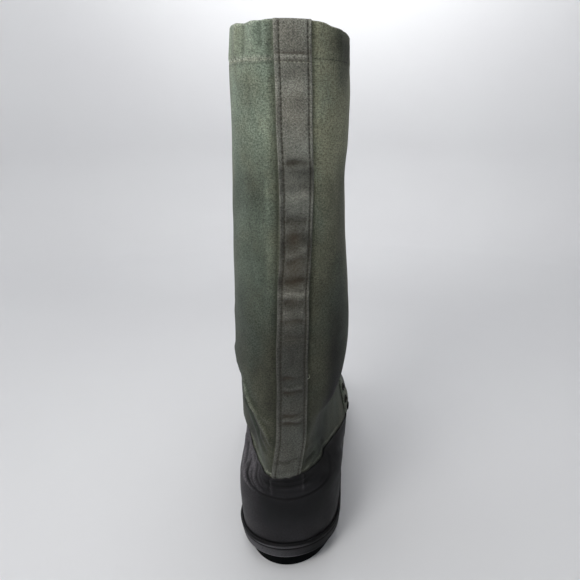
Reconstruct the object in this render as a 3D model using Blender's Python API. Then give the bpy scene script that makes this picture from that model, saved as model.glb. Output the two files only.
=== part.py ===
"""Cold-weather mukluk for a left foot: a tall canvas shaft on a rubber bottom, standing empty.

Metres, +Z up, toe along +Y, inner (medial) side of the foot along +X. The origin is on the
ground under the middle of the heel. Every piece is cut from one surface, the outside of the
canvas, which is a stack of level sections: lasted_point() gives its points.
"""
import math

import bmesh
import bpy
import numpy as np

MM = 0.001

# Driving dimensions, in metres.
BOOT_HEIGHT = 0.4505
HEEL_CENTRE = 0.042          # from the back edge of the heel's tread to the middle of the heel
SOLE_TOP = 0.010             # thickness of the outsole at its edge
SEAT_GAP = 0.0003            # clearance between pieces that touch on the real boot
CANVAS_WALL = 0.0020         # cotton duck with its lining
RUBBER_WALL = 0.0024         # rubber bottom, low down
RUBBER_LIP = 0.0012          # rubber bottom at its top edge
COUNTER_WALL = 0.0012        # rubber heel counter
STRIP_WIDTH = 0.0245         # webbing up the back of the shaft
STRIP_WALL = 0.0014
STRIP_TOP = BOOT_HEIGHT - 0.001
FACING_WALL = 0.0012         # eyelet patch
OVERLAY_GAP = 0.0005         # clearance under a thin overlay, which spans facets
COUNTER_GAP = 0.0006         # clearance under the heel counter
COUNTER_BOTTOM = 0.0263
COUNTER_TOP = 0.0745
COUNTER_DROP = 0.010         # fall of the counter's top edge from the heel to its ends
COUNTER_TURN = 1.25          # how far the counter reaches each way round the heel, in radians
TOE_SPRING = 0.011           # lift of the toe's tip over the flat forefoot
SPRING_START = 0.225         # from the back of the heel, where the lift begins
SPRING_END = 0.310

# The first row of each table names its columns.
# Level sections of the canvas, in millimetres. back and front are measured from the back edge
# of the heel's tread; nose is half the width of the rounded back and nose_round its depth; the
# sides then widen over reach to waist (at mid foot) and ball (at the ball); front_round is the
# depth of the rounded front; shift carries the section towards the inner side.
SECTIONS = (
    ("height", "back", "front", "nose", "nose_round", "reach", "waist", "ball", "front_round", "shift"),
    (4, 4.4, 308.0, 40.6, 43, 140, 40.6, 53.4, 86, -1.2),
    (10, 3.4, 309.5, 41.4, 43, 140, 41.4, 54.2, 86, -1.2),
    (18, 2.4, 310.5, 42.8, 43, 140, 42.8, 55.4, 85, -1.2),
    (28, 1.4, 310.5, 43.8, 44, 140, 44.0, 57.0, 84, -1.2),
    (42, 1.0, 308.5, 44.4, 45, 140, 45.6, 58.2, 82, -0.8),
    (52, 1.2, 301.0, 44.4, 45, 140, 47.0, 58.2, 80, -0.6),
    (60, 1.8, 289.0, 44.2, 45, 138, 48.6, 57.4, 78, -0.4),
    (68, 2.8, 270.5, 43.6, 44, 132, 50.6, 56.6, 75, -0.2),
    (75, 4.2, 249.0, 41.8, 41, 128, 52.8, 56.0, 71, 0.0),
    (81, 5.8, 230.0, 33.5, 28, 126, 54.4, 55.5, 67, 0.0),
    (87, 7.6, 214.5, 19.5, 14, 125, 55.4, 55.4, 63, 0.0),
    (93, 9.0, 203.0, 14.6, 9.5, 124, 55.6, 55.6, 60, 0.0),
    (100, 9.8, 193.0, 14.4, 9.5, 122, 55.0, 55.0, 58, -0.4),
    (110, 10.2, 182.0, 15.4, 10, 118, 52.8, 52.8, 56, -0.8),
    (120, 10.4, 173.5, 17.6, 12, 112, 49.8, 49.8, 55, -1.0),
    (133, 10.2, 166.0, 21.4, 15, 104, 46.8, 46.8, 56, -0.8),
    (145, 9.8, 162.0, 26.5, 20, 96, 45.8, 45.8, 59, 0.0),
    (157, 9.4, 160.5, 35.5, 31, 90, 45.8, 45.8, 62, 1.4),
    (170, 9.0, 161.0, 44.4, 42, 90, 46.6, 46.6, 66, 2.8),
    (185, 8.8, 163.0, 48.4, 46, 90, 47.4, 47.4, 69, 4.2),
    (215, 8.4, 169.0, 49.5, 47, 90, 48.4, 48.4, 73, 7.0),
    (253, 8.0, 176.0, 48.3, 47, 90, 47.2, 47.2, 76, 7.8),
    (297, 8.0, 182.0, 45.9, 46, 90, 45.2, 45.2, 80, 8.0),
    (330, 7.8, 185.5, 44.3, 46, 90, 43.8, 43.8, 83, 8.8),
    (353, 7.6, 187.0, 43.6, 46, 90, 43.2, 43.2, 84, 10.0),
    (376, 7.4, 188.5, 43.8, 46, 90, 43.4, 43.4, 85, 12.3),
    (404, 7.2, 190.0, 44.0, 46, 90, 43.6, 43.6, 86, 13.6),
    (432, 7.0, 191.0, 43.2, 46, 90, 43.0, 43.0, 86, 14.2),
    (456, 6.8, 191.0, 41.2, 46, 90, 41.2, 41.2, 86, 15.6),
)

# Bend of the last, in millimetres: how far the middle of the foot lies to the inner side.
BEND = (("along", "inward"), (0, 0.0), (50, 0.0), (110, -0.6), (150, -3.8), (215, -8.2), (262, -7.6),
        (312, -4.0))

# Top edge of the rubber: its height in millimetres against the turn in degrees, 0 at the back
# of the heel and 180 at the toe.
RUBBER_EDGE = (("turn", "height"), (0, 93), (20, 92.4), (34, 90.5), (59, 87.5), (76, 85.5), (92, 81.5),
               (106, 77.5), (125, 74), (145, 72.4), (165, 71.6), (180, 71.4))

# Middle of the webbing strip, in millimetres to the inner side, against its height.
STRIP_PATH = (("height", "inward"), (80, 0.4), (93, 1.2), (110, 3.7), (131, 6.7), (172, 9.3),
              (210, 11.2), (245, 13.5), (267, 14.8), (300, 17.1), (329, 18.7), (357, 19.6),
              (402, 20.5), (452, 20.9))

# Foxing band round the foot of the rubber, in millimetres: its wall against its height.
FOXING = (("height", "wall"), (10.3, 0.8), (12.0, 2.0), (16.0, 2.6), (18.8, 2.6), (19.9, 1.7),
          (21.0, 2.5), (24.4, 2.3), (25.6, 1.2))
FOXING_INSIDE = (7, 3, 0)    # rows of the table that its inside keeps, from the top

# Eyelet patches on both sides of the instep, in millimetres, and the eyelets set in them.
PATCH_REAR = 112.0
PATCH_FRONT = 148.0
PATCH_TOP = 132.0
PATCH_BOTTOM = 81.5
EYELETS = (("along", "height"), (119.5, 118.0), (119.5, 103.0), (126.0, 90.0))
EYELET_HOLE = 0.0030         # radius of the hole that a barrel passes through
EYELET_CUT = (0.003, -0.009) # how far the holes' cutter reaches outside and inside the patch
EYELET_PROFILE = (("radius", "depth"), (2.1, 0.9), (4.6, 0.5), (4.6, 0.0), (2.7, 0.0), (2.7, -4.4),
                  (2.1, -4.4))
EYELET_SIDES = 12

# Outsole from its top edge down, in millimetres: how far its outline stands out from the foot's
# at SOLE_TOP, and how far it is drawn in at the sides.
SOLE_PROFILE = (("height", "offset", "tuck"), (10.0, 3.2, 0.0), (8.4, 3.4, 0.0), (5.0, 3.3, 2.2),
                (1.6, 3.0, 4.4), (0.0, 2.2, 5.0))

# Insole from its top edge down, in millimetres: height over the sole and inset from the canvas.
INSOLE_PROFILE = (("height", "inset"), (4.0, 1.2), (3.2, 0.6), (0.0, 0.6))

# Tread, in millimetres from the back edge of the heel.
ARCH_START = 92.0
ARCH_END = 142.0
ARCH_DEPTH = 4.5
ARCH_SLOPE = 5.0
GROOVE_DEPTH = 3.0
GROOVE_WIDTH = 4.6
GROOVE_RIM = 7.0
CUTTER_BELOW = -0.004        # how far the tread's cutters reach under the ground, in metres
CUTTER_SIDE = 0.09           # and how far they reach to each side
HEEL_GROOVES = (18.0, 31.0, 53.0, 68.0)
BALL_GROOVES = (156.0, 171.0, 186.0, 201.0, 216.0, 231.0, 246.0, 261.0, 276.0)

TURNS = 48                   # columns round the boot
FOOT_ROWS = 10               # rows between the sole and the rubber's edge
SHAFT_ROWS = (0.018, 0.040, 0.065, 0.092, 0.122, 0.155, 0.190, 0.235,
              0.30, 0.40, 0.50, 0.60, 0.70, 0.80, 0.90, 1.0)   # share of the way up to the collar
INSIDE_ROWS = (0, 2, 4, 6, 8, 9, 10, 11, 12, 13, 14, 15, 16, 17, 18, 19, 21, 23, 25)   # from the top

TURN = np.arange(TURNS) * 2 * math.pi / TURNS


def column(table, name):
    """One column of a table, by its name."""
    place = table[0].index(name)
    return np.array([row[place] for row in table[1:]], dtype=float)


def smooth_table(table, where, name):
    """Cubic curve through one column of a table; a row that is a turning point is level."""
    at = column(table, table[0][0])
    value = column(table, name)
    step = np.diff(value) / np.diff(at)
    slope = np.concatenate(([step[0]], (step[:-1] + step[1:]) / 2, [step[-1]]))
    slope[1:-1][step[:-1] * step[1:] <= 0] = 0
    where = np.clip(where, at[0], at[-1])
    i = np.clip(np.searchsorted(at, where, side="right") - 1, 0, len(at) - 2)
    run = at[i + 1] - at[i]
    t = (where - at[i]) / run
    start = value[i] * (1 + 2 * t) * (1 - t) ** 2 + slope[i] * run * t * (1 - t) ** 2
    end = value[i + 1] * t * t * (3 - 2 * t) + slope[i + 1] * run * t * t * (t - 1)
    return start + end


def section_value(name, height):
    """One column of the section table at a height in metres, in metres."""
    return smooth_table(SECTIONS, height / MM, name) * MM


def ease(t):
    """0 below 0, 1 above 1, and a smooth S between."""
    t = np.clip(t, 0, 1)
    return t * t * (3 - 2 * t)


def quarter_round(t):
    """Rise of a quarter ellipse from 0 to 1."""
    t = np.clip(t, 0, 1)
    return np.sqrt(1 - (1 - t) ** 2)


def toe_lift(along):
    """Toe spring at a distance from the back of the heel."""
    t = np.clip((along - SPRING_START) / (SPRING_END - SPRING_START), 0, None)
    return TOE_SPRING * t ** 2


def sprung(points):
    """Bends a flat-soled shape up at the toe; the lift fades out over the top of the foot."""
    lifted = np.array(points)
    fade = 1 - ease((lifted[..., 2] - 0.030) / 0.070)
    lifted[..., 2] += toe_lift(lifted[..., 1] + HEEL_CENTRE) * fade
    return lifted


def half_width(along, height):
    """Half width of the level section at a distance from the back of the heel."""
    back = section_value("back", height)
    nose = section_value("nose", height)
    from_back = along - back
    from_front = section_value("front", height) - along
    side = section_value("waist", height)
    side = side + (section_value("ball", height) - side) * ease((along - 0.130) / 0.090)
    widening = 1 - (1 - np.clip(from_back / section_value("reach", height), 0, 1)) ** 1.25
    half = nose * quarter_round(from_back / section_value("nose_round", height))
    half = half + (side - nose) * widening
    return half * quarter_round(from_front / section_value("front_round", height))


def side_point(along, height, side):
    """Point of the canvas at a distance from the heel's back; side is +1 inner, -1 outer."""
    bend = smooth_table(BEND, along / MM, "inward") * MM * (1 - ease((height - 0.060) / 0.090))
    x = section_value("shift", height) + bend + side * half_width(along, height)
    return np.stack(np.broadcast_arrays(x, along - HEEL_CENTRE, height), axis=-1)


def section_along(turn, height):
    """Distance from the heel's back at a turn round the section, 0 at the back, pi at the front."""
    back = section_value("back", height)
    front = section_value("front", height)
    return back + (front - back) * (1 - np.cos(turn)) / 2


def lasted_point(turn, height):
    """Point of the canvas's outside at a turn round the boot and a height."""
    side = np.where(np.sin(turn) >= 0, 1.0, -1.0)
    return side_point(section_along(turn, height), height, side)


def unit(vectors):
    return vectors / np.linalg.norm(vectors, axis=-1, keepdims=True)


def lasted(turn, height, offset):
    """The canvas's outside moved out by offset along its normal, which is level at the sole."""
    turn, height, offset = np.broadcast_arrays(turn, height, offset)
    small_turn = 1e-3
    small_rise = 2e-4
    across = lasted_point(turn + small_turn, height) - lasted_point(turn - small_turn, height)
    up = lasted_point(turn, height + small_rise) - lasted_point(turn, height - small_rise)
    normal = unit(np.cross(across, up))
    normal[..., 2] *= ease((height - SOLE_TOP) / 0.025)
    return sprung(lasted_point(turn, height) + unit(normal) * offset[..., None])


def side_lasted(along, height, side, offset):
    """The same surface, by distance from the heel's back instead of by turn."""
    along, height = np.broadcast_arrays(along, height)
    small = 2e-4
    forward = side_point(along + small, height, side) - side_point(along - small, height, side)
    up = side_point(along, height + small, side) - side_point(along, height - small, side)
    return sprung(side_point(along, height, side) + unit(np.cross(forward, up) * side) * offset)


def rubber_edge(turn):
    """Height of the rubber's top edge at a turn."""
    from_back = np.degrees(np.abs((turn + math.pi) % (2 * math.pi) - math.pi))
    return smooth_table(RUBBER_EDGE, from_back, "height") * MM


def foot_heights(turn, rows):
    """Heights from the sole to the rubber's edge, closer together towards the edge."""
    share = 1 - (1 - np.linspace(0, 1, rows)) ** 1.5
    bottom = SOLE_TOP + SEAT_GAP
    return bottom + share[:, None] * (rubber_edge(turn)[None, :] - bottom)


def finished_object(name, points, faces, colour, roughness, metallic=0.0):
    """Makes a named mesh object with its own material, shaded smooth."""
    mesh = bpy.data.meshes.new(name)
    mesh.from_pydata([tuple(p) for p in np.asarray(points, dtype=float)], [], faces)
    work = bmesh.new()
    work.from_mesh(mesh)
    bmesh.ops.recalc_face_normals(work, faces=work.faces)
    work.to_mesh(mesh)
    work.free()
    mesh.shade_smooth()
    mesh.set_sharp_from_angle(angle=math.radians(38))
    material = bpy.data.materials.new(name)
    material.use_nodes = True
    shader = material.node_tree.nodes["Principled BSDF"]
    shader.inputs["Base Color"].default_value = (*colour, 1)
    shader.inputs["Roughness"].default_value = roughness
    shader.inputs["Metallic"].default_value = metallic
    mesh.materials.append(material)
    piece = bpy.data.objects.new(name, mesh)
    bpy.context.scene.collection.objects.link(piece)
    return piece


def ring_wall(name, rings, *finish):
    """Closed wall round the boot: rings up the outside, then down the inside.

    Each four-sided cell is split along the same rising diagonal on both sides, so that two
    walls that share their rows stay parallel.
    """
    count, around = rings.shape[:2]
    level = rings[:, :, 2].mean(axis=1)
    faces = []
    for i in range(count):
        after = (i + 1) % count
        a, b = i * around, after * around
        rising = level[after] >= level[i]
        for j in range(around):
            k = (j + 1) % around
            if rising:
                faces.append((a + j, a + k, b + k))
                faces.append((a + j, b + k, b + j))
            else:
                faces.append((a + j, a + k, b + j))
                faces.append((a + k, b + k, b + j))
    return finished_object(name, rings.reshape(-1, 3), faces, *finish)


def patch_wall(name, outer, inner, *finish):
    """Closed sheet between two grids of the same shape."""
    rows, columns = outer.shape[:2]
    size = rows * columns
    faces = []
    for i in range(rows - 1):
        for j in range(columns - 1):
            corner = i * columns + j
            above = corner + columns
            for face in ((corner, corner + 1, above + 1), (corner, above + 1, above)):
                faces.append(face)
                faces.append(tuple(size + p for p in reversed(face)))
    edge = [j for j in range(columns)]
    edge += [i * columns + columns - 1 for i in range(1, rows)]
    edge += [(rows - 1) * columns + j for j in range(columns - 2, -1, -1)]
    edge += [i * columns for i in range(rows - 2, 0, -1)]
    for a, b in zip(edge, edge[1:] + edge[:1]):
        faces.append((b, a, size + a, size + b))
    return finished_object(name, np.concatenate((outer.reshape(-1, 3), inner.reshape(-1, 3))), faces, *finish)


def plate(name, rings, *finish):
    """Solid of the foot's outline: rings from the top edge down, closed across at both ends."""
    count, around = rings.shape[:2]
    faces = []
    for i in range(count - 1):
        for j in range(around):
            k = (j + 1) % around
            faces.append((i * around + j, i * around + k, (i + 1) * around + k, (i + 1) * around + j))
    for base in (0, (count - 1) * around):
        half = around // 2
        faces.append((base, base + 1, base + around - 1))
        faces.append((base + half, base + half - 1, base + half + 1))
        for j in range(1, half - 1):
            faces.append((base + j, base + j + 1, base + around - j - 1, base + around - j))
    return finished_object(name, rings.reshape(-1, 3), faces, *finish)


def hidden_cutter(name, points, faces):
    """A shape that only cuts others: drawn as wires and left out of renders."""
    cutter = finished_object(name, points, faces, (0.5, 0.5, 0.5), 0.5)
    cutter.hide_render = True
    cutter.display_type = "WIRE"
    return cutter


def cutter_from_boxes(name, boxes):
    """One hidden cutter made of separate boxes, each given by its eight corners."""
    points = []
    faces = []
    sides = ((0, 3, 2, 1), (4, 5, 6, 7), (0, 1, 5, 4), (1, 2, 6, 5), (2, 3, 7, 6), (3, 0, 4, 7))
    for corners in boxes:
        base = len(points)
        points.extend(corners)
        faces.extend(tuple(base + p for p in side) for side in sides)
    return hidden_cutter(name, points, faces)


def cut_away(piece, cutter):
    """Takes the cutter out of the piece."""
    modifier = piece.modifiers.new("cut", "BOOLEAN")
    modifier.operation = "DIFFERENCE"
    modifier.solver = "EXACT"
    modifier.object = cutter


def canvas_heights():
    """Rows of the canvas: those of the rubber first, then on up the shaft to the collar."""
    foot = foot_heights(TURN, FOOT_ROWS)
    shaft = foot[-1] + np.array(SHAFT_ROWS)[:, None] * (BOOT_HEIGHT - foot[-1])
    return np.concatenate((foot, shaft))


def build_upper():
    """Canvas upper: one hollow wall from the sole to the collar, open at both."""
    outside = canvas_heights()
    inside = outside[::-1][list(INSIDE_ROWS)]
    rings = np.concatenate((lasted(TURN, outside, 0.0), lasted(TURN, inside, -CANVAS_WALL)))
    return ring_wall("canvas_upper", rings, (0.115, 0.135, 0.100), 0.9)


def rubber_wall(share):
    """Wall of the rubber bottom against the share of its height, thinning to the lip."""
    return RUBBER_WALL + (RUBBER_LIP - RUBBER_WALL) * ease((share - 0.55) / 0.45)


def build_rubber_bottom():
    """Rubber bottom: a wall round the foot of the canvas, closed below by the sole."""
    heights = foot_heights(TURN, FOOT_ROWS)
    share = (heights - heights[0]) / (heights[-1] - heights[0])
    outside = lasted(TURN, heights, SEAT_GAP + rubber_wall(share))
    inside = lasted(TURN, heights[::-1], SEAT_GAP)
    return ring_wall("rubber_bottom", np.concatenate((outside, inside)), (0.020, 0.020, 0.022), 0.6)


def build_heel_counter():
    """Stiff rubber layer round the heel, on the rubber bottom."""
    turn = np.linspace(-COUNTER_TURN, COUNTER_TURN, 21)
    share = 1 - (1 - np.linspace(0, 1, 7)) ** 1.6
    top = COUNTER_TOP - COUNTER_DROP * ease(np.abs(turn) / COUNTER_TURN) ** 2
    heights = COUNTER_BOTTOM + share[:, None] * (top - COUNTER_BOTTOM)[None, :]
    edge = rubber_edge(turn)[None, :]
    floor = SOLE_TOP + SEAT_GAP
    under = SEAT_GAP + rubber_wall((heights - floor) / (edge - floor)) + COUNTER_GAP
    outer = lasted(turn, heights, under + COUNTER_WALL)
    inner = lasted(turn, heights, under)
    return patch_wall("heel_counter", outer, inner, (0.024, 0.024, 0.026), 0.5)


def build_foxing():
    """Foxing band: rubber strip that binds the foot of the rubber bottom to the sole."""
    heights = column(FOXING, "height") * MM
    walls = column(FOXING, "wall") * MM
    under = 2 * SEAT_GAP + RUBBER_WALL
    outside = lasted(TURN, heights[:, None], (under + walls)[:, None])
    inside = lasted(TURN, heights[list(FOXING_INSIDE), None], under)
    return ring_wall("foxing_band", np.concatenate((outside, inside)), (0.045, 0.045, 0.048), 0.55)


def sole_ring(height, offset, tuck=0.0):
    """Outline of the foot moved out by offset in plan, and drawn in by tuck at its sides."""
    ring = lasted_point(TURN, SOLE_TOP)
    across = lasted_point(TURN + 1e-3, SOLE_TOP) - lasted_point(TURN - 1e-3, SOLE_TOP)
    outward = unit(np.stack((across[:, 1], -across[:, 0], 0 * across[:, 0]), axis=-1))
    ring = ring + outward * (offset - tuck * outward[:, :1] ** 2)
    ring[:, 2] = height
    return sprung(ring)


def build_outsole():
    """Outsole: tread block inset under the foxing, with heel, arch, toe spring and cross lugs."""
    rings = np.stack([sole_ring(height * MM, offset * MM, tuck * MM)
                      for height, offset, tuck in SOLE_PROFILE[1:]])
    outsole = plate("outsole", rings, (0.008, 0.008, 0.009), 0.55)
    boxes = []
    far = CUTTER_SIDE
    below = CUTTER_BELOW
    start = ARCH_START * MM - HEEL_CENTRE
    end = ARCH_END * MM - HEEL_CENTRE
    slope = ARCH_SLOPE * MM
    roof = ARCH_DEPTH * MM
    lower = ((-far, start - slope, below), (far, start - slope, below), (far, end + slope, below),
             (-far, end + slope, below))
    upper = ((-far, start + slope, roof), (far, start + slope, roof), (far, end - slope, roof),
             (-far, end - slope, roof))
    boxes.append(lower + upper)
    ring = rings[-1]
    half = TURNS // 2 + 1
    inner = ring[:half]
    outer = np.concatenate((ring[:1], ring[:half - 2:-1]))
    for along in HEEL_GROOVES + BALL_GROOVES:
        y = along * MM - HEEL_CENTRE
        right = np.interp(y, inner[:, 1], inner[:, 0]) - GROOVE_RIM * MM
        left = np.interp(y, outer[:, 1], outer[:, 0]) + GROOVE_RIM * MM
        low = y - GROOVE_WIDTH * MM / 2
        high = y + GROOVE_WIDTH * MM / 2
        top = GROOVE_DEPTH * MM + float(toe_lift(along * MM))
        corners = ((left, low), (right, low), (right, high), (left, high))
        boxes.append(tuple((px, py, below) for px, py in corners)
                     + tuple((px, py, top) for px, py in corners))
    cut_away(outsole, cutter_from_boxes("tread_cutter", boxes))
    return outsole


def build_insole():
    """Insole: a plain plate that lies on the sole inside the canvas."""
    base = SOLE_TOP + SEAT_GAP
    rings = np.stack([sole_ring(base + height * MM, -(CANVAS_WALL + inset * MM))
                      for height, inset in INSOLE_PROFILE[1:]])
    return plate("insole", rings, (0.30, 0.29, 0.25), 0.95)


def turn_at(x, height):
    """Turn at which the back of the section at a height reaches x."""
    turns = np.linspace(-1.6, 1.6, 641)
    points = lasted_point(turns, np.full_like(turns, height))
    return np.interp(x, points[:, 0], turns)


def build_back_strip():
    """Webbing strip up the back of the shaft, from the rubber to the collar."""
    bottom = float(rubber_edge(0.0)) + RUBBER_LIP
    heights = np.linspace(bottom, STRIP_TOP, 22)
    middle = smooth_table(STRIP_PATH, heights / MM, "inward") * MM
    across = np.linspace(-0.5, 0.5, 7) * STRIP_WIDTH
    turn = np.array([turn_at(m + across, h) for m, h in zip(middle, heights)])
    outer = lasted(turn, heights[:, None], OVERLAY_GAP + STRIP_WALL)
    inner = lasted(turn, heights[:, None], OVERLAY_GAP)
    return patch_wall("back_strip", outer, inner, (0.125, 0.125, 0.105), 0.9)


def build_patch(name, side):
    """Eyelet patch on one side of the instep: straight on top, rounded below."""
    radius = (PATCH_FRONT - PATCH_REAR) / 2
    centre = (PATCH_FRONT + PATCH_REAR) / 2
    straight = np.linspace(PATCH_TOP, PATCH_BOTTOM + radius, 6)
    lean = np.linspace(0, math.radians(80), 7)[1:]
    heights = np.concatenate((straight, PATCH_BOTTOM + radius * (1 - np.sin(lean)))) * MM
    halves = np.concatenate((np.full(6, radius), radius * np.cos(lean)))
    across = np.linspace(-1, 1, 7)
    along = (centre + across[None, :] * halves[:, None]) * MM
    outer = side_lasted(along, heights[:, None], side, OVERLAY_GAP + FACING_WALL)
    inner = side_lasted(along, heights[:, None], side, OVERLAY_GAP)
    return patch_wall(name, outer, inner, (0.125, 0.140, 0.110), 0.9)


def eyelet_frame(along, height, side):
    """Centre on the patch's outside, and three axes whose last points out of the boot."""
    seat = OVERLAY_GAP + FACING_WALL + SEAT_GAP + 0.0001
    centre = side_lasted(np.array(along * MM), np.array(height * MM), side, seat)
    outward = unit(centre - side_lasted(np.array(along * MM), np.array(height * MM), side, 0.0))
    first = unit(np.cross(outward, (0.0, 0.0, 1.0)))
    return centre, first, np.cross(outward, first), outward


def build_eyelet(name, along, height, side):
    """Rolled brass eyelet: a flange on the patch and a barrel through the canvas."""
    centre, first, second, outward = eyelet_frame(along, height, side)
    angle = np.arange(EYELET_SIDES) * 2 * math.pi / EYELET_SIDES
    rings = []
    for radius, depth in EYELET_PROFILE[1:]:
        spoke = np.cos(angle)[:, None] * first + np.sin(angle)[:, None] * second
        rings.append(centre + spoke * radius * MM + outward * depth * MM)
    return ring_wall(name, np.stack(rings), (0.16, 0.15, 0.12), 0.45, 0.9)


def build_eyelet_holes():
    """Cutter for the holes that the eyelets' barrels pass through."""
    around = EYELET_SIDES
    angle = np.arange(around) * 2 * math.pi / around
    points = []
    faces = []
    for side in (1, -1):
        for along, height in EYELETS[1:]:
            centre, first, second, outward = eyelet_frame(along, height, side)
            spoke = np.cos(angle)[:, None] * first + np.sin(angle)[:, None] * second
            base = len(points)
            for reach in EYELET_CUT:
                points.extend(centre + spoke * EYELET_HOLE + outward * reach)
            faces.append(tuple(range(base, base + around)))
            faces.append(tuple(range(base + 2 * around - 1, base + around - 1, -1)))
            for j in range(around):
                k = (j + 1) % around
                faces.append((base + j, base + around + j, base + around + k, base + k))
    return hidden_cutter("eyelet_cutter", points, faces)


def main():
    for old in list(bpy.data.objects):
        bpy.data.objects.remove(old, do_unlink=True)
    build_outsole()
    build_insole()
    build_foxing()
    build_rubber_bottom()
    build_heel_counter()
    upper = build_upper()
    build_back_strip()
    holes = build_eyelet_holes()
    cut_away(upper, holes)
    for side, word in ((1, "inner"), (-1, "outer")):
        cut_away(build_patch("eyelet_patch_" + word, side), holes)
        for number, (along, height) in enumerate(EYELETS[1:], start=1):
            build_eyelet("eyelet_%s_%d" % (word, number), along, height, side)


main()
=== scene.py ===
import math

import bmesh
import bpy
import numpy as np
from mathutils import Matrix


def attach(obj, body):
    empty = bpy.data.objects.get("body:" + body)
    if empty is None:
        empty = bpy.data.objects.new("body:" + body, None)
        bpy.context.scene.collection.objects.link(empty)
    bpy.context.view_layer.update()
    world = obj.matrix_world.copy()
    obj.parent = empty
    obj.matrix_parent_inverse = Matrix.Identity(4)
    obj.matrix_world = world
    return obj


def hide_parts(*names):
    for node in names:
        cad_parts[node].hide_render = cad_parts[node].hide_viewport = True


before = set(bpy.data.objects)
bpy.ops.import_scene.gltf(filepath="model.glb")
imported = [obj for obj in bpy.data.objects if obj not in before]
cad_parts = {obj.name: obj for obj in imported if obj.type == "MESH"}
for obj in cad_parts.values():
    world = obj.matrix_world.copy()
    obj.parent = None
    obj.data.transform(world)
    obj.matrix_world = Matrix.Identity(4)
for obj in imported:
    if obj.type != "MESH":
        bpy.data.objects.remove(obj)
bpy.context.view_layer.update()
mm = 0.001
print("frame loaded: %d nodes" % len(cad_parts))


# The last: the outside of the canvas as a function of turn and height

boot = {                        # driving sizes, in metres
    "height": 0.4505,
    "heelCentre": 0.042,        # back edge of the heel's tread to the middle of the heel
    "soleTop": 0.010,
    "gap": 0.0003,              # between pieces that touch
    "canvasWall": 0.0020,
    "rubberWall": 0.0024,
    "rubberLip": 0.0012,
    "toeSpring": 0.011,
    "springStart": 0.225,
    "springEnd": 0.310,
    "crowding": 0.35,           # how much closer columns lie at the back than at the front
}
tiny = 1e-6                     # metres: corners this close are one corner

sections = (                    # level sections in millimetres, as in the CAD source
    ("height", "back", "front", "nose", "noseRound", "reach", "waist", "ball", "frontRound", "shift"),
    (4, 4.4, 308.0, 40.6, 43, 140, 40.6, 53.4, 86, -1.2),
    (10, 3.4, 309.5, 41.4, 43, 140, 41.4, 54.2, 86, -1.2),
    (18, 2.4, 310.5, 42.8, 43, 140, 42.8, 55.4, 85, -1.2),
    (28, 1.4, 310.5, 43.8, 44, 140, 44.0, 57.0, 84, -1.2),
    (42, 1.0, 308.5, 44.4, 45, 140, 45.6, 58.2, 82, -0.8),
    (52, 1.2, 301.0, 44.4, 45, 140, 47.0, 58.2, 80, -0.6),
    (60, 1.8, 289.0, 44.2, 45, 138, 48.6, 57.4, 78, -0.4),
    (68, 2.8, 270.5, 43.6, 44, 132, 50.6, 56.6, 75, -0.2),
    (75, 4.2, 249.0, 41.8, 41, 128, 52.8, 56.0, 71, 0.0),
    (81, 5.8, 230.0, 33.5, 28, 126, 54.4, 55.5, 67, 0.0),
    (87, 7.6, 214.5, 19.5, 14, 125, 55.4, 55.4, 63, 0.0),
    (93, 9.0, 203.0, 14.6, 9.5, 124, 55.6, 55.6, 60, 0.0),
    (100, 9.8, 193.0, 14.4, 9.5, 122, 55.0, 55.0, 58, -0.4),
    (110, 10.2, 182.0, 15.4, 10, 118, 52.8, 52.8, 56, -0.8),
    (120, 10.4, 173.5, 17.6, 12, 112, 49.8, 49.8, 55, -1.0),
    (133, 10.2, 166.0, 21.4, 15, 104, 46.8, 46.8, 56, -0.8),
    (145, 9.8, 162.0, 26.5, 20, 96, 45.8, 45.8, 59, 0.0),
    (157, 9.4, 160.5, 35.5, 31, 90, 45.8, 45.8, 62, 1.4),
    (170, 9.0, 161.0, 44.4, 42, 90, 46.6, 46.6, 66, 2.8),
    (185, 8.8, 163.0, 48.4, 46, 90, 47.4, 47.4, 69, 4.2),
    (215, 8.4, 169.0, 49.5, 47, 90, 48.4, 48.4, 73, 7.0),
    (253, 8.0, 176.0, 48.3, 47, 90, 47.2, 47.2, 76, 7.8),
    (297, 8.0, 182.0, 45.9, 46, 90, 45.2, 45.2, 80, 8.0),
    (330, 7.8, 185.5, 44.3, 46, 90, 43.8, 43.8, 83, 8.8),
    (353, 7.6, 187.0, 43.6, 46, 90, 43.2, 43.2, 84, 10.0),
    (376, 7.4, 188.5, 43.8, 46, 90, 43.4, 43.4, 85, 12.3),
    (404, 7.2, 190.0, 44.0, 46, 90, 43.6, 43.6, 86, 13.6),
    (432, 7.0, 191.0, 43.2, 46, 90, 43.0, 43.0, 86, 14.2),
    (456, 6.8, 191.0, 41.2, 46, 90, 41.2, 41.2, 86, 15.6),
)
bend = (("along", "inward"), (0, 0.0), (50, 0.0), (110, -0.6), (150, -3.8), (215, -8.2), (262, -7.6),
        (312, -4.0))
rubberEdge = (("turn", "height"), (0, 93), (20, 92.4), (34, 90.5), (59, 87.5), (76, 85.5), (92, 81.5),
              (106, 77.5), (125, 74), (145, 72.4), (165, 71.6), (180, 71.4))
edgeDrift = (("turn", "rise"), (-180, 0), (-60, 0), (-30, 0.2), (-14, -0.9), (0, 0.1), (14, 1.7), (26, 0.9),
             (44, -0.6), (51, -0.2), (56, 3.8), (64, 3.0), (84, 1.4), (110, 0), (180, 0))
stripPath = (("height", "inward"), (80, 0.4), (93, 1.2), (110, 3.7), (131, 6.7), (172, 9.3),
             (210, 11.2), (245, 13.5), (267, 14.8), (300, 17.1), (329, 18.7), (357, 19.6),
             (402, 20.5), (452, 20.9))


def column(table, name):
    # one column of a table whose first row names its columns
    place = table[0].index(name)
    return np.array([row[place] for row in table[1:]], dtype=float)


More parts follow.
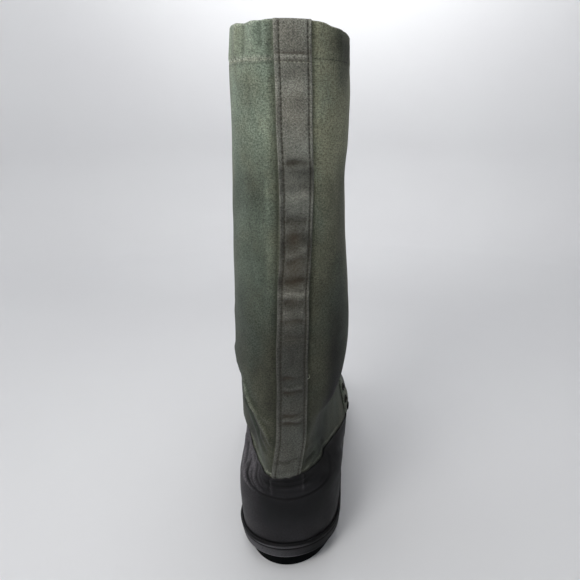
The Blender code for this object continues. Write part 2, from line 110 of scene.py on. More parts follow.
def smoothTable(table, where, name):
    # cubic curve through a column: slopes are the mean of the two steps, and level at a turning point
    at = column(table, table[0][0])
    value = column(table, name)
    step = np.diff(value) / np.diff(at)
    slope = np.concatenate(([step[0]], (step[:-1] + step[1:]) / 2, [step[-1]]))
    slope[1:-1][step[:-1] * step[1:] <= 0] = 0
    where = np.clip(where, at[0], at[-1])
    i = np.clip(np.searchsorted(at, where, side="right") - 1, 0, len(at) - 2)
    run = at[i + 1] - at[i]
    t = (where - at[i]) / run
    start = value[i] * (1 + 2 * t) * (1 - t) ** 2 + slope[i] * run * t * (1 - t) ** 2
    end = value[i + 1] * t * t * (3 - 2 * t) + slope[i + 1] * run * t * t * (t - 1)
    return start + end


def sectionValue(name, height):
    return smoothTable(sections, height / mm, name) * mm


def ease(t):
    # 0 below 0, 1 above 1, and the smooth S 3t^2 - 2t^3 between
    t = np.clip(t, 0, 1)
    return t * t * (3 - 2 * t)


def ramp(value, start, end):
    # the smooth S as value goes from start, where it is 0, to end, where it is 1
    return ease((value - start) / (end - start))


def quarterRound(t):
    # rise of a quarter ellipse from 0 to 1
    t = np.clip(t, 0, 1)
    return np.sqrt(1 - (1 - t) ** 2)


def bell(distance, width):
    # bell curve of a distance
    return np.exp(-(distance / width) ** 2)


def unit(vectors):
    return vectors / np.maximum(np.linalg.norm(vectors, axis=-1, keepdims=True), 1e-12)


def closerAtEnds(count):
    # places from -1 to 1 that crowd towards both ends, as a sine does
    bow = 1.25
    return np.sin(np.linspace(-bow, bow, count)) / math.sin(bow)


def sharpness(relief, reach):
    # how far each place stands above the mean of its four neighbours at a reach
    around = [np.roll(relief, way, axis) for axis in (0, 1) for way in (-reach, reach)]
    return relief - 0.25 * sum(around)


def toeLift(along):
    # toe spring: the square of the way past the ball
    start, end = boot["springStart"], boot["springEnd"]
    return boot["toeSpring"] * np.clip((along - start) / (end - start), 0, None) ** 2


def sprung(points):
    # lifts points by the toe spring, fading out over the top of the foot
    lifted = np.array(points)
    fade = 1 - ease((lifted[..., 2] - 0.030) / 0.070)
    lifted[..., 2] += toeLift(lifted[..., 1] + boot["heelCentre"]) * fade
    return lifted


def halfWidth(along, height):
    # a rounded back, widening over the reach to the waist and the ball, then a rounded front
    fromBack = along - sectionValue("back", height)
    fromFront = sectionValue("front", height) - along
    nose = sectionValue("nose", height)
    side = sectionValue("waist", height)
    side = side + (sectionValue("ball", height) - side) * ease((along - 0.130) / 0.090)
    widening = 1 - (1 - np.clip(fromBack / sectionValue("reach", height), 0, 1)) ** 1.25
    half = nose * quarterRound(fromBack / sectionValue("noseRound", height)) + (side - nose) * widening
    return half * quarterRound(fromFront / sectionValue("frontRound", height))


def sidePoint(along, height, side):
    # half width out from the middle line, which bends inwards along the foot
    inward = smoothTable(bend, along / mm, "inward") * mm * (1 - ease((height - 0.060) / 0.090))
    x = sectionValue("shift", height) + inward + side * halfWidth(along, height)
    return np.stack(np.broadcast_arrays(x, along - boot["heelCentre"], height), axis=-1)


def alongAt(turn, height):
    # runs as (1 - cos turn) / 2 from the back of the section to its front
    back = sectionValue("back", height)
    front = sectionValue("front", height)
    return back + (front - back) * (1 - np.cos(turn)) / 2


def lastedPoint(turn, height):
    # the last's surface by turn and height, its inner side where the turn's sine is above zero
    return sidePoint(alongAt(turn, height), height, np.where(np.sin(turn) >= 0, 1.0, -1.0))


def lasted(turn, height, offset):
    # the last's surface moved out by offset along its normal, which is level down at the sole
    turn, height, offset = np.broadcast_arrays(turn, height, offset)
    smallTurn, smallRise = 1e-3, 2e-4
    across = lastedPoint(turn + smallTurn, height) - lastedPoint(turn - smallTurn, height)
    up = lastedPoint(turn, height + smallRise) - lastedPoint(turn, height - smallRise)
    normal = unit(np.cross(across, up))
    normal[..., 2] *= ease((height - boot["soleTop"]) / 0.025)
    return sprung(lastedPoint(turn, height) + unit(normal) * offset[..., None])


def sideLasted(along, height, side, offset):
    # the same surface by distance along the foot instead of by turn
    along, height = np.broadcast_arrays(along, height)
    small = 2e-4
    forward = sidePoint(along + small, height, side) - sidePoint(along - small, height, side)
    up = sidePoint(along, height + small, side) - sidePoint(along, height - small, side)
    normal = unit(np.cross(forward, up) * side)
    return sprung(sidePoint(along, height, side) + normal * np.asarray(offset)[..., None])


def wrapped(turn):
    # turn brought into -pi to pi
    return (turn + math.pi) % (2 * math.pi) - math.pi


def edgeHeight(turn):
    # height of the rubber's top edge
    fromBack = np.degrees(np.abs(wrapped(turn)))
    return smoothTable(rubberEdge, fromBack, "height") * mm


def rubberTop(turn):
    # the rubber's top edge as trimmed by hand: a step at the inner ankle, and a slope across the webbing
    return edgeHeight(turn) + smoothTable(edgeDrift, np.degrees(wrapped(turn)), "rise") * mm


def crowdedTurns(count):
    # turns round the boot, drawn together at the back by a sine
    even = np.linspace(-math.pi, math.pi, count, endpoint=False)
    return even - boot["crowding"] * np.sin(even)


def turnAt(x, height):
    # turn at which the back of the section reaches x
    turns = np.linspace(-1.6, 1.6, 641)
    return np.interp(x, lastedPoint(turns, np.full_like(turns, height))[:, 0], turns)


def arcFromStrip(turn, heights, stripAt=None):
    # distance round the last at each row of heights from the strip's middle, or its middle at another
    # height, in millimetres: the sum of the steps from one column to the next
    level = heights.mean(axis=1) if stripAt is None else np.array([stripAt])
    steps = np.linalg.norm(np.diff(lasted(turn, heights, 0.0), axis=1), axis=2)
    arc = np.concatenate((np.zeros((len(heights), 1)), np.cumsum(steps, axis=1)), axis=1)
    middle = smoothTable(stripPath, level / mm, "inward") * mm
    zero = [np.interp(turnAt(m, h), turn, a) for m, h, a in zip(middle, level, arc)]
    return (arc - np.array(zero)[:, None]) / mm


# Soft relief: noise and listed creases

def softNoise(a, b, size, seed):
    # sum of ten sine waves of random direction whose lengths lie round size; about -1 to 1
    draw = np.random.default_rng(seed)
    total = 0.0
    for angle, phase, stretch in draw.uniform((0, 0, 0.6), (math.pi, 2 * math.pi, 1.7), (10, 3)):
        way = (a * math.cos(angle) + b * math.sin(angle)) * 2 * math.pi / (size * stretch)
        total = total + np.sin(way + phase)
    return total / 4.0


def creaseField(across, height, creases):
    # each crease is a bowed stroke from one place to another: its height falls off as a bell curve
    # with distance from the stroke and fades at its ends; lean sinks one side and raises the other
    field = np.zeros(np.broadcast(across, height).shape)
    for a0, h0, a1, h1, bow, width, depth, lean in creases[1:]:
        length = math.hypot(a1 - a0, h1 - h0)
        along = ((across - a0) * (a1 - a0) + (height - h0) * (h1 - h0)) / length ** 2
        off = ((height - h0) * (a1 - a0) - (across - a0) * (h1 - h0)) / length
        off = off - bow * 4 * np.clip(along, 0, 1) * (1 - np.clip(along, 0, 1))
        fade = ease(along / 0.25 + 0.3) * ease((1 - along) / 0.25 + 0.3)
        field += fade * bell(off, width) * (depth + lean * off / width)
    return field


# Meshes

def finishedMesh(name, points, faces, material, attributes=None, faceUvs=None):
    # puts whole arrays into a mesh: rows of points, an array of corners, and one uv pair for each corner
    mesh = bpy.data.meshes.new(name)
    mesh.vertices.add(points.size // 3)
    mesh.vertices.foreach_set("co", points.astype(np.float32).ravel())
    mesh.loops.add(faces.size)
    mesh.loops.foreach_set("vertex_index", faces.astype(np.int32).ravel())
    mesh.polygons.add(len(faces))
    mesh.polygons.foreach_set("loop_start", np.arange(0, faces.size, faces.shape[1], dtype=np.int32))
    mesh.update(calc_edges=True)
    if faceUvs is not None:
        layer = mesh.uv_layers.new(name="cloth")
        layer.data.foreach_set("uv", faceUvs.astype(np.float32).ravel())
    for key, values in (attributes or {}).items():
        layer = mesh.attributes.new(key, "FLOAT", "POINT")
        layer.data.foreach_set("value", values.astype(np.float32).ravel())
    mesh.shade_smooth()
    if material:
        mesh.materials.append(material)
    piece = bpy.data.objects.new(name, mesh)
    bpy.context.scene.collection.objects.link(piece)
    return piece


def gridFaces(rows, columns, wrapRows, wrapColumns):
    # four-sided faces of a grid: right, then up, so that they face out where columns run to the right
    i = np.arange(rows if wrapRows else rows - 1)[:, None]
    j = np.arange(columns if wrapColumns else columns - 1)[None, :]
    after, right = (i + 1) % rows, (j + 1) % columns
    corners = (i * columns + j, i * columns + right, after * columns + right, after * columns + j)
    return np.stack(corners, axis=-1).reshape(-1, 4)


def ringMesh(name, rings, material, attributes=None, faceUvs=None):
    # a closed wall: each ring of points joined to the next, and the last one to the first
    faces = gridFaces(*rings.shape[:2], True, True)
    return finishedMesh(name, rings, faces, material, attributes, faceUvs)


def gridUvs(across, up):
    # the faces' corners of a wrapped grid, from one more row and column of coordinates than it has
    pairs = np.stack((across, up), axis=-1)
    corners = (pairs[:-1, :-1], pairs[:-1, 1:], pairs[1:, 1:], pairs[1:, :-1])
    return np.stack(corners, axis=2)


def sheetMesh(name, outer, inner, across, up, attributes, material):
    # closed sheet between two grids of the same shape, joined round their rims
    size = across.size
    front = gridFaces(*across.shape, False, False)
    number = np.arange(size).reshape(across.shape)
    loop = np.concatenate((number[0], number[1:, -1], number[-1, -2::-1], number[-2:0:-1, 0]))
    ahead = np.roll(loop, -1)
    faces = np.concatenate((front, front[:, ::-1] + size,
                            np.stack((ahead, loop, loop + size, ahead + size), axis=1)))
    flat = np.stack((across.ravel(), up.ravel()), axis=1)[faces.ravel() % size]
    doubled = {key: np.stack((value, value)) for key, value in attributes.items()}
    return finishedMesh(name, np.stack((outer, inner)), faces, material, doubled, flat)


def onGrid(points, row, col):
    # points and unit normals at fractional places on a grid, by mixing the four corners
    i = np.clip(np.floor(row).astype(int), 0, points.shape[0] - 2)
    j = np.clip(np.floor(col).astype(int), 0, points.shape[1] - 2)
    u, v = (row - i)[..., None], (col - j)[..., None]
    a, b, c, d = points[i, j], points[i, j + 1], points[i + 1, j], points[i + 1, j + 1]
    place = (a * (1 - v) + b * v) * (1 - u) + (c * (1 - v) + d * v) * u
    right = (b - a) * (1 - u) + (d - c) * u
    up = (c - a) * (1 - v) + (d - b) * v
    return place, unit(np.cross(right, up))


def evenPlaces(points, spacing, start=0.0):
    # fractional indexes along a line of points that lie one spacing apart
    run = np.concatenate(([0], np.cumsum(np.linalg.norm(np.diff(points, axis=0), axis=1))))
    return np.interp(np.arange(start, run[-1], spacing), run, np.arange(len(points)))


stitchStyles = {                # length, the thread's radius and its lift off the cloth, in millimetres
    "strip": (2.2, 0.36, 0.22),
    "hem": (2.1, 0.32, 0.26),
    "fine": (1.9, 0.22, 0.18),
    "patch": (2.0, 0.26, 0.22),
}


def stitchRow(centres, normals, closed, style):
    # a short bowed tube at each centre, along the line of centres: rings of a circle carried along
    # the stitch, sunk at both ends where the thread goes through the cloth
    if closed:
        ahead = unit(np.roll(centres, -1, axis=0) - np.roll(centres, 1, axis=0))
    else:
        ahead = unit(np.gradient(centres, axis=0))
    side = unit(np.cross(normals, ahead))
    length, thread, bow = [size * mm for size in stitchStyles[style]]
    rings, sides = 5, 6
    along = np.linspace(-0.5, 0.5, rings)[:, None]
    angle = np.arange(sides)[None, :] * 2 * math.pi / sides
    radius = thread * np.sqrt(np.clip(1.02 - (2 * along) ** 4, 0, 1))
    lift = bow * (1 - (2 * along) ** 2) - 0.6 * thread + radius * np.sin(angle)
    shape = ((ahead, length * along + 0 * angle), (normals, lift), (side, radius * np.cos(angle)))
    points = centres[:, None, None] + sum(way[:, None, None] * far[..., None] for way, far in shape)
    ends = np.array([[0, 3, 2, 1], [0, 5, 4, 3]])
    one = np.concatenate((gridFaces(rings, sides, False, True), ends, ends[:, ::-1] + (rings - 1) * sides))
    faces = one + np.arange(len(centres))[:, None, None] * rings * sides
    return points.reshape(-1, 3), faces.reshape(-1, 4)


def joinedMesh(name, parts, material):
    # several point and face arrays as one mesh
    bases = np.cumsum([0] + [len(points) for points, _ in parts])
    points = np.concatenate([points for points, _ in parts])
    faces = np.concatenate([faces + base for (_, faces), base in zip(parts, bases)])
    return finishedMesh(name, points, faces, material)


def cleaned(piece, weld=0.0, outward=True):
    # merges corners closer than weld, with the faces that this empties, and turns faces outwards
    work = bmesh.new()
    work.from_mesh(piece.data)
    if weld:
        bmesh.ops.remove_doubles(work, verts=work.verts, dist=weld)
        bmesh.ops.dissolve_degenerate(work, edges=work.edges, dist=tiny)
    if outward:
        bmesh.ops.recalc_face_normals(work, faces=work.faces)
    work.to_mesh(piece.data)
    work.free()
    return piece


def spokes(sides, first, second):
    # directions round an axis: the angle's cosine along first and its sine along second
    angle = np.arange(sides)[:, None] * 2 * math.pi / sides
    return np.cos(angle) * first + np.sin(angle) * second


def settle(piece, slot, *nodes):
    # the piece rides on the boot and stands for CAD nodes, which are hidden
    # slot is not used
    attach(piece, "root")
    if nodes:
        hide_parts(*nodes)


# Materials

def fromHex(code):
    # sRGB hex value to linear colour
    channels = [int(code[i:i + 2], 16) / 255 for i in (1, 3, 5)]
    linear = [c / 12.92 if c <= 0.04045 else ((c + 0.055) / 1.055) ** 2.4 for c in channels]
    return (*linear, 1.0)


def addNode(tree, kind, sockets, out=0, **settings):
    # adds one node with its settings: each socket takes a value, or a link from another node's output
    node = tree.nodes.new("ShaderNode" + kind)
    for key, value in settings.items():
        setattr(node, key, value)
    for key, value in sockets.items():
        if isinstance(value, bpy.types.NodeSocket):
            tree.links.new(value, node.inputs[key])
        else:
            node.inputs[key].default_value = value
    return node.outputs[out]


def newMaterial(name, **shaderValues):
    # a material whose shader's own sockets take the given values
    material = bpy.data.materials.new(name)
    material.use_nodes = True
    shader = material.node_tree.nodes["Principled BSDF"]
    for key, value in shaderValues.items():
        shader.inputs[key.replace("_", " ")].default_value = value
    return material, material.node_tree, shader


multiply = {"operation": "MULTIPLY"}
smooth = {"interpolation_type": "SMOOTHSTEP"}
colours = {"data_type": "RGBA"}

cloth = {                       # sizes in millimetres
    "sage": "#758172",          # faded by light, where the cloth has gone blue-green
    "olive": "#787a66",         # the dye where it has kept its yellow
    # worn also stands for painted highlights, and soiled for painted shade as well as grime
    "worn": "#a9ad9e",          # fuzz on folds and edges
    "soiled": "#23271f",
    "pitch": 1.5,               # real duck has 0.6 mm threads, too fine to show: drawn at 1.5 mm
    "thread": 0.8,              # width and length of the thick and thin places in the threads
    "slub": 2.2,
    "grain": 0.9,               # clumps of fuzz
    "mottle": (17, 17, 24),     # uneven fading, and larger clouds of it
    "blotch": (29, 29, 42),
    "contrast": 0.475,          # how far the grain lightens and darkens the cloth
    "fading": 0.16,             # and how far the mottling and the weave's own pattern do
    "ribbing": 0.07,
}


def makeClothMaterial(name, look):
    # cotton duck, plain woven and coloured by piece dyeing: dull, with a dry fuzz, threads that vary in
    # thickness, dye that has rubbed off the folds, dirt and painted shade in the creases, and painted light
    # and shade over all
    material, tree, shader = newMaterial(name, Roughness=0.93, Specular_IOR_Level=0.15,
                                         Sheen_Weight=0.08, Sheen_Roughness=0.6)
    uv = addNode(tree, "UVMap", {}, uv_map="cloth")
    place = addNode(tree, "TexCoord", {}, "Object")
    olive, sage, bare, grimeAndShade = [fromHex(look[key]) for key in ("olive", "sage", "worn", "soiled")]
    painted = {key: addNode(tree, "Attribute", {}, "Fac", attribute_name=key)
               for key in ("tone", "shade", "wear", "soil")}
    noise = {}
    for key, vector, sizes, detail in (("warp", uv, (look["thread"], look["slub"], 1000), 2.0),
                                       ("weft", uv, (look["slub"], look["thread"], 1000), 2.0),
                                       ("fuzz", place, (look["grain"],) * 3, 3.0),
                                       ("mottle", place, look["mottle"], 5.0),
                                       ("blotch", place, look["blotch"], 4.0)):
        mapped = addNode(tree, "Mapping", {"Vector": vector, "Scale": [1 / (size * mm) for size in sizes]})
        noise[key] = addNode(tree, "TexNoise", {"Vector": mapped, "Scale": 1.0, "Detail": detail,
                                                "Roughness": 0.6})
    # over and under: a sine across the warp times a sine along the weft
    across = addNode(tree, "SeparateXYZ", {0: uv})
    turns = 2 * math.pi / (look["pitch"] * mm)
    warpPhase = addNode(tree, "Math", {0: across, 1: turns}, **multiply)
    weftPhase = addNode(tree, "Math", {0: across.node.outputs[1], 1: turns}, **multiply)
    warpSine = addNode(tree, "Math", {0: warpPhase}, operation="SINE")
    weftSine = addNode(tree, "Math", {0: weftPhase}, operation="SINE")
    weave = addNode(tree, "Math", {0: warpSine, 1: weftSine}, **multiply)
    threads = addNode(tree, "Math", {0: noise["weft"], 1: 0.55}, **multiply)
    threads = addNode(tree, "Math", {0: noise["warp"], 1: 0.45, 2: threads}, operation="MULTIPLY_ADD")
    grain = addNode(tree, "Math", {0: noise["fuzz"], 1: 0.6, 2: threads}, operation="MULTIPLY_ADD")
    # the dye, from olive to sage, times the painted light and shade, the weave and the mottling
    faded = addNode(tree, "Math", {0: noise["blotch"], 1: 1.9, 2: painted["tone"]}, operation="MULTIPLY_ADD")
    faded = addNode(tree, "MapRange", {0: faded, 1: 0.9, 2: 1.9}, **smooth)
    clothColour = addNode(tree, "Mix", {0: faded, 6: olive, 7: sage}, 2, **colours)
    shade = painted["shade"]
    for value, low, high, swing in ((grain, 0.60, 1.0, look["contrast"]),
                                    (noise["mottle"], 0.32, 0.68, look["fading"]),
                                    (weave, -1.0, 1.0, look["ribbing"])):
        part = addNode(tree, "MapRange", {0: value, 1: low, 2: high, 3: 1 - swing, 4: 1 + swing}, **smooth)
        shade = addNode(tree, "Math", {0: shade, 1: part}, **multiply)
    grey = addNode(tree, "CombineXYZ", {0: shade, 1: shade, 2: shade})
    clothColour = addNode(tree, "Mix", {0: 1.0, 6: clothColour, 7: grey}, 2, blend_type="MULTIPLY", **colours)
    # wear and dirt, which also carry painted highlights and painted shade
    fuzz = addNode(tree, "Mix", {0: 1.0, 6: bare, 7: grey}, 2, blend_type="MULTIPLY", **colours)
    fuzzy = addNode(tree, "MapRange", {0: noise["fuzz"], 1: 0.35, 2: 0.62}, **smooth)
    rubbed = addNode(tree, "Math", {0: painted["wear"], 1: fuzzy}, **multiply)
    clothColour = addNode(tree, "Mix", {0: rubbed, 6: clothColour, 7: fuzz}, 2, **colours)
    patchy = addNode(tree, "MapRange", {0: noise["blotch"], 1: 0.25, 2: 0.6, 3: 0.75, 4: 1.0}, **smooth)
    dirtAndShade = addNode(tree, "Math", {0: painted["soil"], 1: patchy}, **multiply)
    clothColour = addNode(tree, "Mix", {0: dirtAndShade, 6: clothColour, 7: grimeAndShade}, 2, **colours)
    tree.links.new(clothColour, shader.inputs["Base Color"])
    bumps = addNode(tree, "Math", {0: weave, 1: 0.3, 2: threads}, operation="MULTIPLY_ADD")
    normal = addNode(tree, "Bump", {"Strength": 0.6, "Distance": 0.4 * mm, "Height": bumps})
    tree.links.new(normal, shader.inputs["Normal"])
    return material


rubber = {                      # sizes in millimetres
    "black": "#0e0e10",
    "bloom": "#1c1c1e",
    # dust, also used for painted light on the lit side and painted highlights
    "dust": "#757175",
    # near black for painted shade as well as dirt
    "pit": "#040405",
    "cloud": (33, 33, 25),      # the bloom's clouds
    "speck": 1.2,               # real dust is finer than the render shows
    "dusting": (0.15, 0.8),     # where the dust starts and where it is thickest, by the speck noise
    "roughness": (0.5, 0.66),
    "gloss": 0.17,              # specular level, low because the surface is open and dusty
}


def makeRubberMaterial(name, look):
    # natural rubber sheet, calendered and vulcanised: a soft sheen, a grey bloom in clouds, and dust that
    # lies thin on it;
    # the dust colour also paints light and highlights, and the pit colour paints shade as well as dirt
    material, tree, shader = newMaterial(name, Specular_IOR_Level=look["gloss"])
    place = addNode(tree, "TexCoord", {}, "Object")
    noise = {}
    for key, sizes, detail in (("cloud", look["cloud"], 5.0), ("speck", (look["speck"],) * 3, 3.0)):
        mapped = addNode(tree, "Mapping", {"Vector": place, "Scale": [1 / (size * mm) for size in sizes]})
        noise[key] = addNode(tree, "TexNoise", {"Vector": mapped, "Scale": 1.0, "Detail": detail,
                                                "Roughness": 0.65})
    black, bloom, dust, pit = [fromHex(look[key]) for key in ("black", "bloom", "dust", "pit")]
    thin, thick = look["dusting"]
    smoothest, roughest = look["roughness"]
    cloudy = addNode(tree, "MapRange", {0: noise["cloud"], 1: 0.35, 2: 0.7}, **smooth)
    colour = addNode(tree, "Mix", {0: cloudy, 6: black, 7: bloom}, 2, **colours)
    wear = addNode(tree, "Attribute", {}, "Fac", attribute_name="wear")
    soil = addNode(tree, "Attribute", {}, "Fac", attribute_name="soil")
    specks = addNode(tree, "MapRange", {0: noise["speck"], 1: thin, 2: thick}, **smooth)
    dustAndLight = addNode(tree, "Math", {0: wear, 1: specks}, **multiply)
    colour = addNode(tree, "Mix", {0: dustAndLight, 6: colour, 7: dust}, 2, **colours)
    colour = addNode(tree, "Mix", {0: soil, 6: colour, 7: pit}, 2, **colours)
    tree.links.new(colour, shader.inputs["Base Color"])
    cloudy = {0: noise["cloud"], 1: 0.3, 2: 0.7, 3: smoothest, 4: roughest}
    rough = addNode(tree, "MapRange", cloudy, **smooth)
    tree.links.new(rough, shader.inputs["Roughness"])
    bumps = addNode(tree, "Math", {0: noise["speck"], 1: 0.4, 2: noise["cloud"]}, operation="MULTIPLY_ADD")
    normal = addNode(tree, "Bump", {"Strength": 0.25, "Distance": 0.4 * mm, "Height": bumps})
    tree.links.new(normal, shader.inputs["Normal"])
    return material


# spun cotton thread: matt, with a faint twist along it
thread = {"grain": 0.7, "detail": 2.0, "crumb": 0.5, "spread": (0.35, 0.65),
          "dark": "#23241f", "light": "#3c3d35"}
# the same thread bleached by light, where the canvas round it has faded
paleThread = dict(thread, dark="#77796a", light="#a3a594")
# pressed wool felt: a dull, short nap in clumps, trodden grey
felt = {"grain": 4.0, "detail": 5.0, "crumb": 0.7, "spread": (0.3, 0.7),
        "dark": "#5d5a50", "light": "#8b877a", "nap": 0.5}
# brass stamping, blackened in a bath: dark brown, rubbed to dull brass on its high places
brass = {"grain": 2.4, "detail": 4.0, "crumb": 0.7, "spread": (0.5, 0.75),
         "dark": "#1b1a17", "light": "#5d5542", "roughness": (0.6, 0.38)}
# painted board, matt and plain, with clouds too faint to notice
board = {"grain": 1000 / 3, "detail": 3.0, "crumb": 0.5, "dark": "#dadadc", "light": "#dfe0e1"}


def makeMottledMaterial(name, look, **shaderValues):
    # two colours mixed by one noise, its grain in millimetres, which may also roughen and raise the surface
    material, tree, shader = newMaterial(name, **shaderValues)
    place = addNode(tree, "TexCoord", {}, "Object")
    noise = addNode(tree, "TexNoise", {"Vector": place, "Scale": 1 / (look["grain"] * mm),
                                       "Detail": look["detail"], "Roughness": look["crumb"]})
    share = noise
    if "spread" in look:
        low, high = look["spread"]
        share = addNode(tree, "MapRange", {0: noise, 1: low, 2: high}, **smooth)
    dark, light = fromHex(look["dark"]), fromHex(look["light"])
    colour = addNode(tree, "Mix", {0: share, 6: dark, 7: light}, 2, **colours)
    tree.links.new(colour, shader.inputs["Base Color"])
    if "roughness" in look:
        dull, rubbed = look["roughness"]
        rough = addNode(tree, "MapRange", {0: noise, 1: 0.3, 2: 0.7, 3: dull, 4: rubbed}, **smooth)
        tree.links.new(rough, shader.inputs["Roughness"])
    if "nap" in look:
        normal = addNode(tree, "Bump", {"Strength": 0.5, "Distance": look["nap"] * mm, "Height": noise})
        tree.links.new(normal, shader.inputs["Normal"])
    return material


clothMaterial = makeClothMaterial("cotton duck, plain woven, faded", cloth)
threadMaterial = makeMottledMaterial("spun cotton thread, olive", thread, Roughness=0.9)
paleThreadMaterial = makeMottledMaterial("spun cotton thread, faded", paleThread, Roughness=0.9)
print("materials made")


# Canvas shaft

shaft = {
    "turns": 300,               # columns round the boot
    "lowRows": 5,               # rows down inside the rubber
    "legRows": 186,
    "hemRows": 44,
    "hemStart": 0.905,          # share of the way up at which the hem's closer rows start
    "innerRows": 56,
    # millimetres from here on
    "tucked": 4.0,              # how far under the rubber's edge its close rows start
    "hem": 22.5,                # rim to the hem's stitches
    "hemWall": 3.0,             # the doubled cloth at the hem
    "rollStart": 0.9,           # how far under the rim the outside ends and the lining starts
    "liningStart": 1.0,
    "roll": ((0.35, 0.12), (1.5, -0.15), (2.65, 0.15)),     # the rolled rim: back from the outside, and down
    "pucker": 6.6,              # spacing of the hem's small puckers
    "puckerDepth": (0.10, 0.16),        # all round, and what the outer side adds
    "hemStep": 0.45,            # how far the doubled cloth stands out
    "hemGroove": (0.2, 0.22),   # where the stitches pull it in: all round, and what the outer side adds
    "rimRipple": 0.22,          # small waves along the rim at the outer side
    "innerDrop": 4.6,           # how far the rim sags at its inner side
    "outerDrop": 1.2,           # beside the strip, before it rises to its outer corner
    "outerRise": 2.4,
    "slack": 7.0,               # how far the outer flank stands out
    "liningShade": 0.75,
}

shaftCreases = (                # millimetres round from the strip's middle, and up
    ("across0", "height0", "across1", "height1", "bow", "width", "depth", "lean"),
    (-20, 376, -19, 300, 0.8, 3.4, 0.8, -0.3),      # ridges beside the strip
    (-18.5, 306, -17, 226, -0.6, 3.0, 0.7, -0.3),
    (-14.6, 448, -14.4, 372, 0, 1.8, -0.7, 0),      # the cloth pulled down to the strip's edges
    (-14.4, 384, -14.2, 240, 0.4, 1.7, -0.5, 0),
    (-14.0, 250, -13.8, 120, -0.3, 1.8, -0.6, 0),
    (14.8, 446, 14.8, 330, 0.3, 1.8, -0.5, 0),
    (14.6, 340, 14.4, 112, -0.4, 1.8, -0.5, 0),
    (-72, 206, -60, 192, 0, 8.0, 0.8, 0.2),         # outer back corner where the shaft overhangs the ankle
    (-76, 244, -68, 196, 0, 14, 1.0, 0.0),
    (-49, 184, -43, 173, 0, 2.0, 1.4, 1.0),
    (-47, 175, -35, 157, -0.5, 2.2, 2.2, 1.4),
    (-36, 159, -25, 141, -0.5, 2.2, 2.1, 1.4),
    (-26, 143, -15.5, 124, -0.5, 2.0, 1.5, 0.9),
    (-40, 166, -18, 148, -2, 3.2, 0.8, 0.4),        # a second, softer fold inside it
    (-84, 190, -50, 178, 0, 5.0, -1.8, -0.4),       # the hollow under it
    (-80, 182, -50, 171, 0, 5.5, -4.6, -0.4),
    (-80, 173, -54, 163, 0, 5.0, -2.8, 0.0),
    (-58, 170, -42, 150, -0.5, 4.2, -3.0, -0.8),
    (-44, 152, -31, 132, -0.5, 3.6, -2.8, -0.7),
    (-33, 134, -21, 114, -0.5, 3.2, -1.4, -0.4),
    (-34, 420, -31, 408, 0, 1.6, -0.4, 0.2),        # small drags under the hem
    (-38, 418, -37, 404, 0, 1.6, 0.35, 0.2),
    (-27, 424, -25, 411, 0, 1.8, 0.3, 0),
    (-43, 451, -45, 431, 0, 2.6, 1.2, 0),           # gathers between the rim and the hem's stitches
    (-27, 451, -28, 432, 0, 2.4, 1.2, 0),
    (-35, 451, -36, 430, 0, 2.4, -1.2, 0),
    (-21, 451, -21.5, 434, 0, 2.2, -0.9, 0),
    (-53, 451, -52, 432, 0, 2.6, -0.7, 0),
    (-16.5, 451, -16.5, 436, 0, 1.8, 0.5, 0),
    (18, 451, 18.5, 438, 0, 2.0, 0.35, 0),
    (27, 451, 28, 434, 0, 2.4, -0.3, 0),
    (38, 451, 40, 430, 0, 2.6, 0.3, 0),
    (19, 103, 40, 98.5, -0.6, 1.5, -1.5, -0.5),     # pinch at the inner corner of the strip's foot
    (20, 98, 46, 94.5, -0.4, 1.6, 1.0, 0.3),
    (16, 117, 46, 105, 1, 3.4, 0.8, 0.3),
    (50, 104, 57, 96, 0, 2.2, -0.9, -0.3),          # the tuck at the step in the rubber's edge
    (20, 172, 60, 140, 3, 8.0, 0.7, 0.8),           # slack folds over the inner ankle
    (24, 150, 66, 118, 2, 6.0, -0.8, 0.4),
    (22, 300, 52, 268, 3, 10, 0.5, 0.5),
    (24, 232, 56, 214, -2, 8, -0.6, 0.4),
    (-58, 250, -26, 236, 2, 9, 0.6, -0.5),
    (-60, 330, -28, 300, 3, 12, -0.6, 0.4),
    (-62, 395, -30, 372, 3, 10, 0.5, 0.4),
    (-30, 372, -46, 322, -2, 7, -0.5, 0.3),
    (-34, 296, -24, 262, 1, 5, 0.4, 0.3),
    (40, 385, 62, 340, 2, 9, 0.5, -0.4),
)

clothShade = (                  # painted light and shade, by height: left and right of the strip, and the strip
    ("height", "left", "right", "strip"),
    (60, 0.37, 0.21, 0.34), (90, 0.38, 0.21, 0.38), (112, 0.38, 0.22, 0.38), (134, 0.275, 0.235, 0.34),
    (160, 0.29, 0.26, 0.27), (178, 0.30, 0.30, 0.23), (211, 0.26, 0.32, 0.22), (245, 0.325, 0.36, 0.31),
    (278, 0.44, 0.51, 0.50), (308, 0.56, 0.61, 0.48), (337, 0.47, 0.82, 0.78), (363, 0.67, 0.98, 0.80),
    (390, 0.90, 1.14, 0.86), (415, 0.83, 1.22, 0.73), (452, 1.14, 0.96, 0.96),
)

